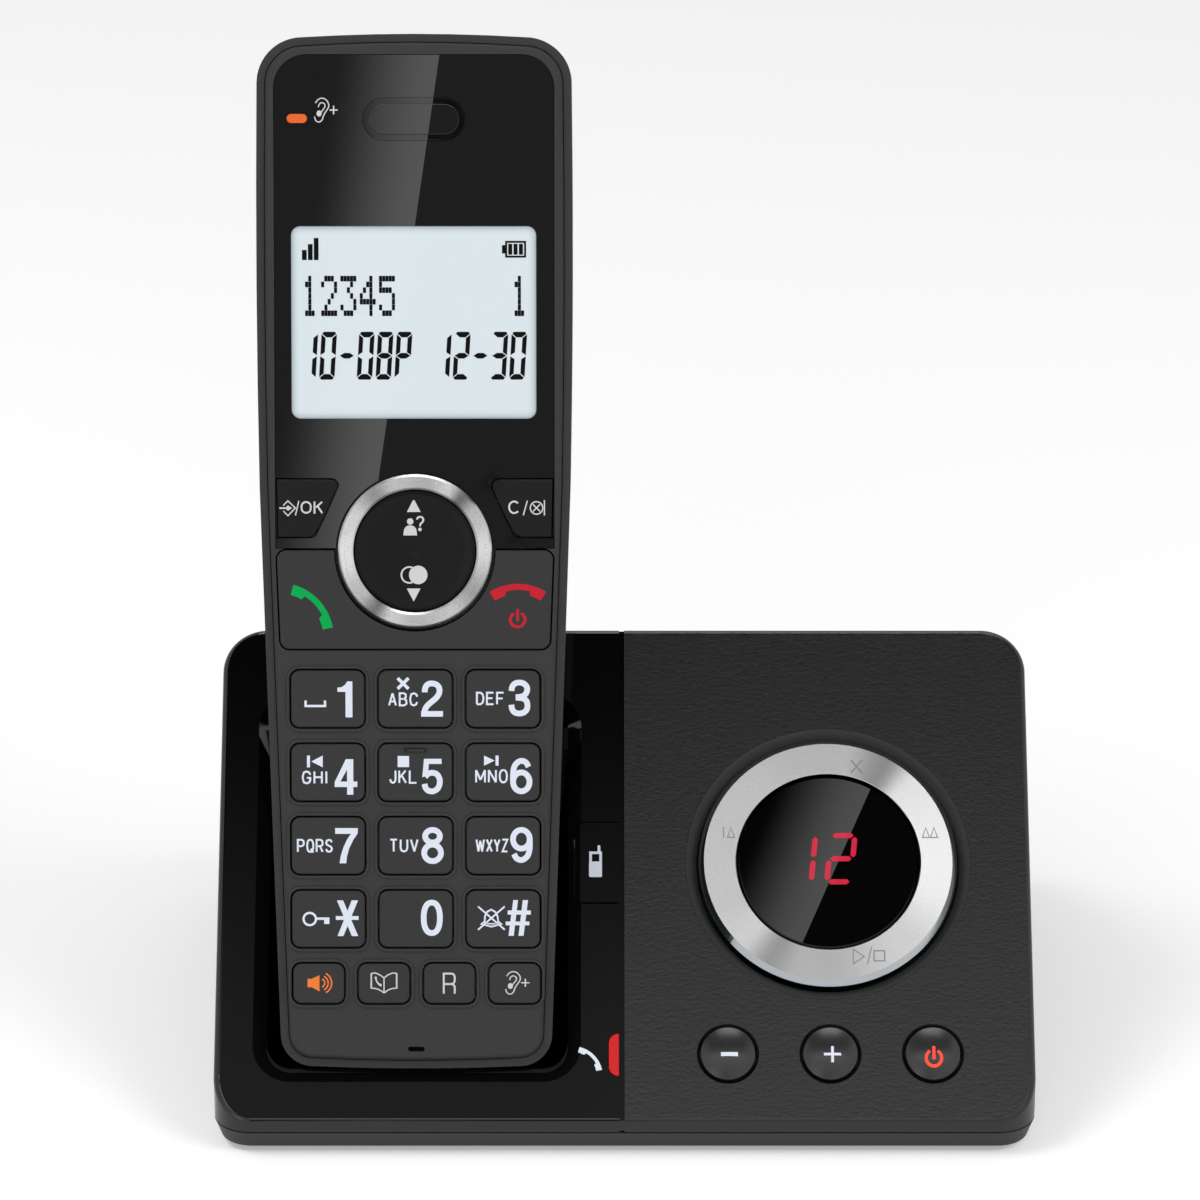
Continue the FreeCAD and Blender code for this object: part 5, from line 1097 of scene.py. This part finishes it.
FUNCTION_ICONS = (("speaker_key", icon_speaker, (-1.72, 2.12, -1.49, 1.69), orange_print),
                  ("phonebook_key", icon_book, (-2.09, 2.08, -1.53, 1.76), grey_print),
                  ("recall_key", icon_r, (-1.02, 0.99, -1.56, 1.73), grey_print),
                  ("boost_key", icon_ear, (-1.49, 2.28, -1.71, 1.97), grey_print))
for x, (name, icon, box, ink) in zip(function_x, FUNCTION_ICONS):
    film = bmesh.new()
    add_fitted(film, icon, box)
    shifted(film, x, FUNCTION_Y)
    film_piece(name + "_print", film, PHONE, ink, name, KEY_TOP)
print("function keys at", [round(x, 2) for x in function_x])

# %% [markdown]
# ## Talk, off and soft keys
#
# The green and red receivers are the oldest marks on a telephone: lifted to talk, laid down
# to end. The soft keys have thin signs: store or confirm at the left, and a C with the
# delete mark at the right.

# %% Talk and off
film = bmesh.new()
add_fitted(film, icon_receiver, (-19.12, -12.68, 68.55, 75.46), -46.5)
film_piece("talk_print", film, PHONE, green_print, "talk_off_key", KEY_TOP)
film = bmesh.new()
add_fitted(film, icon_receiver, (11.5, 20.17, 73.01, 75.61))
add_fitted(film, icon_power, (14.45, 17.15, 68.75, 71.72))
film_piece("off_print", film, PHONE, red_print, "talk_off_key", KEY_TOP)

# %% Soft keys
THIN = 0.19
film = bmesh.new()
stroke(film, [(-20.22, 87.71), (-19.51, 88.42), (-18.36, 87.31), (-19.51, 86.12),
              (-20.2, 86.83)], THIN)
stroke(film, [(-20.81, 87.29), (-19.5, 87.29)], 0.25)
patch(film, [(-19.72, 87.52), (-19.5, 87.72), (-18.88, 87.29), (-19.5, 86.88),
             (-19.72, 87.06)])
stroke(film, [(-17.82, 88.41), (-18.36, 86.17)], THIN)
stroke(film, arc(-16.7, 87.4, 0.72, 0, 350, 35, 0.83, 2.2), 0.27, closed=True)
stroke(film, [(-15.42, 86.45), (-15.42, 88.31)], 0.27)
stroke(film, [(-14.25, 88.26), (-15.2, 87.38)], 0.27)
stroke(film, [(-14.95, 87.62), (-14.22, 86.5)], 0.27)
film_piece("ok_print", film, PHONE, grey_print, "soft_key_left", KEY_TOP)
film = bmesh.new()
stroke(film, arc(15.28, 87.42, 0.77, 42, 318, 24, 0.89, 2.1), 0.27)
stroke(film, [(17.32, 88.45), (16.68, 86.18)], THIN)
stroke(film, arc(18.72, 87.32, 0.96, 0, 350, 35), THIN, closed=True)
icon_cross(film, 18.17, 19.27, 86.77, 87.87, THIN)
stroke(film, [(19.93, 86.16), (19.93, 88.53)], THIN)
film_piece("clear_print", film, PHONE, grey_print, "soft_key_right", KEY_TOP)


# %% [markdown]
# ## Navigation disc
#
# The disc inside the bright ring is slightly dished. Its arrows and icons are drawn flat and
# then draped over the dish, so they tilt with the disc when it is pressed.

# %% Navigation legends
NAV_RADIUS, DISH_LOW, DISH_RISE = 7.65, -0.1, 0.175


def dish(x, y):
    return DISH_LOW + DISH_RISE * math.hypot(x, y - NAV_CENTRE[1]) / NAV_RADIUS


film = bmesh.new()
patch(film, [(-1.22, 86.67), (0.88, 86.67), (-0.17, 88.75)])
patch(film, [(-1.26, 74.86), (-0.21, 72.85), (0.84, 74.86)])
disc(film, -0.72, 85.2, 0.5)
patch(film, [(-1.79, 83.05), (0.34, 83.05)] + arc(-0.72, 83.5, 1.0, 5, 175, 14, 1.1, 2.3))
stroke(film, eased([(0.3, 85.52), (0.5, 85.84), (0.85, 85.92), (1.2, 85.76), (1.3, 85.4),
                    (1.12, 85.06), (0.85, 84.8), (0.78, 84.45)]), 0.28)
disc(film, 0.78, 83.98, 0.27)
disc(film, 0.49, 76.95, 1.43, steps=32)
stroke(film, arc(-0.88, 76.95, 1.22, 62, 298, 22), 0.26)
film_piece("nav_print", film, PHONE, grey_print, "nav_disc", 0, drape=dish)


# %% [markdown]
# ## The handset's display
#
# A reflective LCD is a pale sandwich of glass whose cells turn black. It is drawn as a tile
# with a soft darker rim, where the window's edge shades it, and the cells lie on it as thin
# films: oblong dots for text and slanted bars for the seven-segment time.

# %% LCD tile
LCD_BOX = (-18.86, 18.7, 101.05, 130.55)
LCD_CORNER, LCD_THICK = 1.4, 0.04
LCD_PALE, LCD_DARK = "#d0dade", "#8f9ba2"
# Depth from the edge in millimetres, and how much shade is left there.
LCD_RIM = ((0.0, 1.0), (0.3, 0.5), (0.8, 0.15), (1.3, 0.0))


def rounded_rectangle(bm, left, right, low, high, corner):
    """A flat rectangle with round corners, bevelled from a plain one."""
    place = Matrix.Translation(((left + right) / 2, (low + high) / 2, 0))
    size = Matrix.Diagonal((right - left, high - low, 1, 1))
    made = bmesh.ops.create_grid(bm, x_segments=1, y_segments=1, size=0.5,
                                 matrix=place @ size)["verts"]
    round_corners(bm, made, corner, 8)


def lcd_material():
    """Liquid crystal glass: pale and glossy with a faint painted glow, and darker towards the
    rim.
    """
    material = plastic("lcd_glass", LCD_PALE, 0.25, coat=0.2)
    tree = material.node_tree
    shade = add_node(tree, "Attribute", attribute_name="rim_shade")
    tone = add_node(tree, "ValToRGB", {"Fac": shade.outputs["Fac"]})
    for stop, colour in zip(tone.color_ramp.elements, (LCD_PALE, LCD_DARK)):
        stop.color = linear(colour)
    # Painted light: a faint glow in the tile's own colours makes it evenly bright.
    set_inputs(tree, tree.nodes["Principled BSDF"], {
        "Base Color": tone.outputs[0], "Emission Color": tone.outputs[0],
        "Emission Strength": 0.1})
    return material


film = bmesh.new()
rounded_rectangle(film, *LCD_BOX, LCD_CORNER)
rim_layer = film.verts.layers.float.new("rim_shade")
for vert in film.verts:
    vert[rim_layer] = LCD_RIM[0][1]
for (depth, _), (deeper, shade) in zip(LCD_RIM, LCD_RIM[1:]):
    tile = max(film.faces, key=lambda face: face.calc_area())
    bmesh.ops.inset_region(film, faces=[tile], thickness=deeper - depth,
                           use_even_offset=True, use_boundary=True)
    for vert in max(film.faces, key=lambda face: face.calc_area()).verts:
        vert[rim_layer] = shade
thicken(film, 0, LCD_THICK)
lcd = make_piece("lcd_panel", film, PHONE, [lcd_material()], "handset")
print("lcd:", len(lcd.data.polygons), "faces")


# %% LCD cells
DOTS = {"1": "00100 01100 00100 00100 00100 00100 01110",
        "2": "01110 10001 00001 00010 00100 01000 11111",
        "3": "11111 00010 00100 00010 00001 10001 01110",
        "4": "00010 00110 01010 10010 11111 00010 00010",
        "5": "11111 10000 11110 00001 00001 10001 01110"}
DOT_WIDE, DOT_TALL, DOT_GAP = 0.493, 0.884, 0.03


def dot_character(bm, char, left, low):
    """A 5 by 7 character of small oblong dots."""
    for row, line in enumerate(reversed(DOTS[char].split())):
        for column, lit in enumerate(line):
            if lit == "1":
                x, y = left + column * DOT_WIDE, low + row * DOT_TALL
                patch(bm, box_corners(x, x + DOT_WIDE - DOT_GAP, y, y + DOT_TALL - DOT_GAP))


BARS = {"0": "abcdef", "1": "bc", "2": "abged", "3": "abgcd", "8": "abcdefg", "P": "abgef",
        "-": "g"}


def bar_shapes(wide, tall, thick, flat, gap):
    """The seven bars of one character: outer edges long, inner ones short."""
    middle, cut = tall / 2, 0.35
    top = [(gap + cut * thick, tall), (wide - gap - cut * thick, tall),
           (wide - gap, tall - cut * flat), (wide - thick - gap, tall - flat),
           (thick + gap, tall - flat), (gap, tall - cut * flat)]
    side = [(0, middle + gap), (thick, middle + gap + flat / 2),
            (thick, tall - flat - gap), (0, tall - cut * flat - gap)]
    centre = [(gap, middle), (thick + gap, middle + flat / 2),
              (wide - thick - gap, middle + flat / 2), (wide - gap, middle),
              (wide - thick - gap, middle - flat / 2), (thick + gap, middle - flat / 2)]

    def over(points):
        return [(x, tall - y) for x, y in points]

    def across(points):
        return [(wide - x, y) for x, y in points]
    return {"a": top, "d": over(top), "f": side, "b": across(side), "e": over(side),
            "c": over(across(side)), "g": centre}


def bar_character(bm, char, left, low, shapes, lean):
    for bar in BARS[char]:
        patch(bm, [(left + x + y * lean, low + y) for x, y in shapes[bar]])


TEXT_LOW, TIME_LOW, TIME_PITCH, TIME_LEAN, SIGNAL_LOW = 116.8, 107.04, 2.89, 0.06, 125.38
CELL_LEVEL, CELL_THICK = 0.03, 0.02
film = bmesh.new()
for i, char in enumerate("12345"):
    dot_character(film, char, -17.23 + i * 6 * DOT_WIDE, TEXT_LOW)
dot_character(film, "1", 14.9, TEXT_LOW)
time_bars = bar_shapes(2.36, 7.34, 0.66, 0.85, 0.1)
for text, left in (("10-08P", -17.55), ("12-30", 2.95)):
    for i, char in enumerate(text):
        bar_character(film, char, left + i * TIME_PITCH, TIME_LOW, time_bars, TIME_LEAN)
for i, high in enumerate((1.54, 2.43, 3.37)):
    x = -17.19 + i * 0.91
    patch(film, box_corners(x, x + 0.72, SIGNAL_LOW, SIGNAL_LOW + high))
stroke(film, box_corners(14.1, 17.0, 125.9, 128.16), 0.3,
       closed=True)
patch(film, box_corners(13.46, 13.98, 126.4, 127.66))
for i in range(3):
    x = 14.42 + i * 0.82
    patch(film, box_corners(x, x + 0.6, 126.2, 127.86))
cell_black = plastic("lcd_cell_black", "#040405", 0.4, shine=0.1)
lcd_cells = film_piece("lcd_cells", film, PHONE, cell_black, "handset", CELL_LEVEL, CELL_THICK)
print("lcd cells:", len(lcd_cells.data.polygons), "faces")

# %% Ear mark on the window
film = bmesh.new()
add_fitted(film, icon_ear, (-15.26, -11.64, 146.37, 150.18))
film_piece("ear_print", film, PHONE, grey_print, "handset", 0)

# %% [markdown]
# ## Base legends
#
# The page button shows a small handset, and a white receiver stands beside the message
# light. The three round buttons are domes, so their symbols are draped over a sphere.

# %% Base legends
DOME_RADIUS, DOME_CROWN = 10.25, 1.1


def dome_over(middle_x, middle_v):
    def lift(x, y):
        away = (x - middle_x) ** 2 + (y - middle_v) ** 2
        return DOME_CROWN - DOME_RADIUS + math.sqrt(DOME_RADIUS ** 2 - away)
    return lift


def cut_fine(bm, longest=0.5):
    """Cuts a flat drawing's long edges, so that it can bend over a dome."""
    for _ in range(3):
        long_edges = [e for e in bm.edges if e.calc_length() > longest]
        bmesh.ops.subdivide_edges(bm, edges=long_edges, cuts=1, use_grid_fill=True)


film = bmesh.new()
# The handset mark: a body with a screen hole, as a lower half and a frame, and an aerial.
rounded_rectangle(film, -5.55, -3.51, 39.64, 42.2, 0.22)
stroke(film, [(-5.3, 42.15), (-5.3, 43.65), (-3.72, 43.65), (-3.72, 42.15)], 0.42)
patch(film, [(-4.22, 43.8), (-3.74, 43.8), (-3.78, 44.8), (-3.98, 44.94), (-4.18, 44.8)])
film_piece("page_print", film, PANEL, white_print, "page_button", 0.15)
film = bmesh.new()
add_fitted(film, icon_receiver, (-7.23, -3.51, 8.04, 11.91), -46.5)
film_piece("message_print", film, PANEL, white_print, "base", 0)

BUTTON_V = 10.8


def print_button(name, x, ink, draw, box):
    sign = bmesh.new()
    add_fitted(sign, draw, box)
    cut_fine(sign)
    film_piece(name + "_print", sign, PANEL, ink, name + "_button", 0,
               drape=dome_over(x, BUTTON_V))


def icon_minus(bm):
    stroke(bm, [(-1.32, 0), (1.32, 0)], 0.42)


def icon_plus(bm):
    icon_minus(bm)
    stroke(bm, [(0, -1.3), (0, 1.3)], 0.42)


print_button("volume_down", 16.05, white_print, icon_minus, (14.94, 17.58, 10.13, 10.77))
print_button("volume_up", 31.97, white_print, icon_plus, (30.9, 33.57, 9.16, 11.74))
print_button("answer_power", 47.89, lit_red_print, icon_power, (46.53, 49.39, 8.35, 11.74))

# %% [markdown]
# ## The dial's symbols and its counter
#
# The ring rocks towards four marks, which are etched grey into its face. Behind the smoked
# lens a two-digit counter glows through, and only its lit bars can be seen.

# %% Dial symbols
film = bmesh.new()
icon_cross(film, 35.8, 37.58, 56.64, 58.82, 0.26)
for x in (16.2, 46.86, 48.14):
    stroke(film, [(x, 45.9), (x + 1.12, 45.9), (x + 0.56, 47.56)], 0.18, closed=True)
stroke(film, [(15.62, 45.82), (15.62, 47.64)], 0.18)
stroke(film, [(35.7, 25.1), (37.4, 26.3), (35.7, 27.5)], 0.22, closed=True)
stroke(film, [(37.9, 25.0), (38.6, 27.9)], 0.2)
stroke(film, box_corners(38.95, 40.6, 25.6, 27.25), 0.22, closed=True)
film_piece("dial_ring_print", film, PANEL, ring_print, "dial_ring", RING_TOP)


# %% Counter
LENS_TOP = 0.5
COUNTER_LOW, COUNTER_HIGH, COUNTER_WIDE, COUNTER_LEAN = 38.3, 46.8, 4.6, 0.1
COUNTER_BAR, COUNTER_GAP = 0.85, 0.22


def lamp_bar(bm, start, end):
    """One lit bar with pointed ends, like the light guide of an LED digit."""
    a, b = Vector(start), Vector(end)
    along = (b - a).normalized()
    side = Vector((-along.y, along.x)) * COUNTER_BAR / 2
    a, b = a + along * COUNTER_GAP, b - along * COUNTER_GAP
    tip = along * COUNTER_BAR * 0.45
    corners = [a, a + tip - side, b - tip - side, b, b - tip + side, a + tip + side]
    patch(bm, [(p.x + (p.y - COUNTER_LOW) * COUNTER_LEAN, p.y) for p in corners])


film = bmesh.new()
low, high = COUNTER_LOW + COUNTER_BAR / 2, COUNTER_HIGH - COUNTER_BAR / 2
middle = (low + high) / 2
for left, bars in ((25.1, "bc"), (31.3, "abged")):
    x0, x1 = left + COUNTER_BAR / 2, left + COUNTER_WIDE - COUNTER_BAR / 2
    ends = {"a": ((x0, high), (x1, high)), "b": ((x1, high), (x1, middle)),
            "c": ((x1, middle), (x1, low)), "d": ((x0, low), (x1, low)),
            "e": ((x0, low), (x0, middle)), "g": ((x0, middle), (x1, middle))}
    for bar in bars:
        lamp_bar(film, *ends[bar])
led_red = plastic("led_red", "#c40e34", 0.3, coat=0.3, glow=0.12)
film_piece("counter_digits", film, PANEL, led_red, "base", LENS_TOP + 0.01, 0.02)

# %% [markdown]
# ## Contacts in the sockets
#
# Behind each rear socket's opening a row of gold-plated spring wires waits for the plug. Each
# wire rises from the floor and dips towards the mouth. One wire is drawn from the side and
# thickened to its width, and then copied along the row.

# %% Socket contacts
# A wire's bend as depth behind the mouth and height from the socket's middle.
WIRE_PATH = ((-9.5, -3.1), (-8.9, -1.7), (-7.9, -1.0), (-6.6, -1.3), (-2.4, -2.7))
WIRE_THICK, WIRE_WIDE, WIRE_PITCH = 0.3, 0.5, 1.2
# Depth, height and width of the drawing become the world's Y, Z and X.
SIDEWAYS = Matrix(((0, 0, 1, 0), (1, 0, 0, 0), (0, 1, 0, 0), (0, 0, 0, 1)))

for name, count in (("line_jack", 6), ("power_jack", 4)):
    low, high = (Vector(corner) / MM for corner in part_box(name))
    film = bmesh.new()
    stroke(film, eased(WIRE_PATH), WIRE_THICK)
    thicken(film, 0, WIRE_WIDE)
    wire = film.verts[:] + film.edges[:] + film.faces[:]
    for i in range(1, count):
        copy = bmesh.ops.duplicate(film, geom=wire)["geom"]
        bmesh.ops.translate(film, vec=(0, 0, i * WIRE_PITCH),
                            verts=[g for g in copy if isinstance(g, bmesh.types.BMVert)])
    mouth = ((low.x + high.x - (count - 1) * WIRE_PITCH) / 2, high.y, (low.z + high.z) / 2)
    make_piece(name + "_wires", film, Matrix.Scale(MM, 4) @ Matrix.Translation(mouth) @ SIDEWAYS,
               [gold_plate], "base")
    print(name, count, "wires, box", [round(v, 1) for v in low], [round(v, 1) for v in high])

# %% [markdown]
# ## The tongue under the seam
#
# The two covers meet at a groove. A lip moulded along the left cover's edge lies under it,
# so that no light comes through. It follows the base's section, a little way down: up the
# panel to the crest, and down the rear slope. The foot, the crest and the rear edge come
# from the panel's frame and the cover's box, with the panel's own length and the height of
# the rear wall. The inner lines are mitred from that section, and the strip is extruded.

# %% Seam tongue
PANEL_LENGTH, REAR_WALL_TOP = 81.5, 20.1
TONGUE_DOWN, TONGUE_THICK = 0.4, 1.2
TONGUE_LEFT, TONGUE_RIGHT = -0.95, 0.15


def seam_section():
    """The base's outline at the seam as y and z, from the front foot over the crest."""
    low, high = (Vector(corner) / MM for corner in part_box("cradle_cover"))
    front = PANEL.translation / MM
    crest = PANEL @ Vector((0, PANEL_LENGTH, 0)) / MM
    return [Vector(point) for point in ((front.y, low.z), (front.y, front.z),
                                        (crest.y, crest.z), (high.y, REAR_WALL_TOP),
                                        (high.y, low.z))]


def seam_tongue():
    bm = bmesh.new()
    section = seam_section()
    loop = set_in(section, TONGUE_DOWN) + set_in(section, TONGUE_DOWN + TONGUE_THICK)[::-1]
    bm.faces.new([bm.verts.new((TONGUE_LEFT, p.x, p.y)) for p in loop])
    close_block(bm, (TONGUE_RIGHT - TONGUE_LEFT, 0, 0))
    return bm


tongue = make_piece("seam_tongue", seam_tongue(), Matrix.Scale(MM, 4), [cover_gloss], "base")
print("tongue:", len(tongue.data.polygons), "faces, section",
      [(round(p.x, 2), round(p.y, 2)) for p in seam_section()])
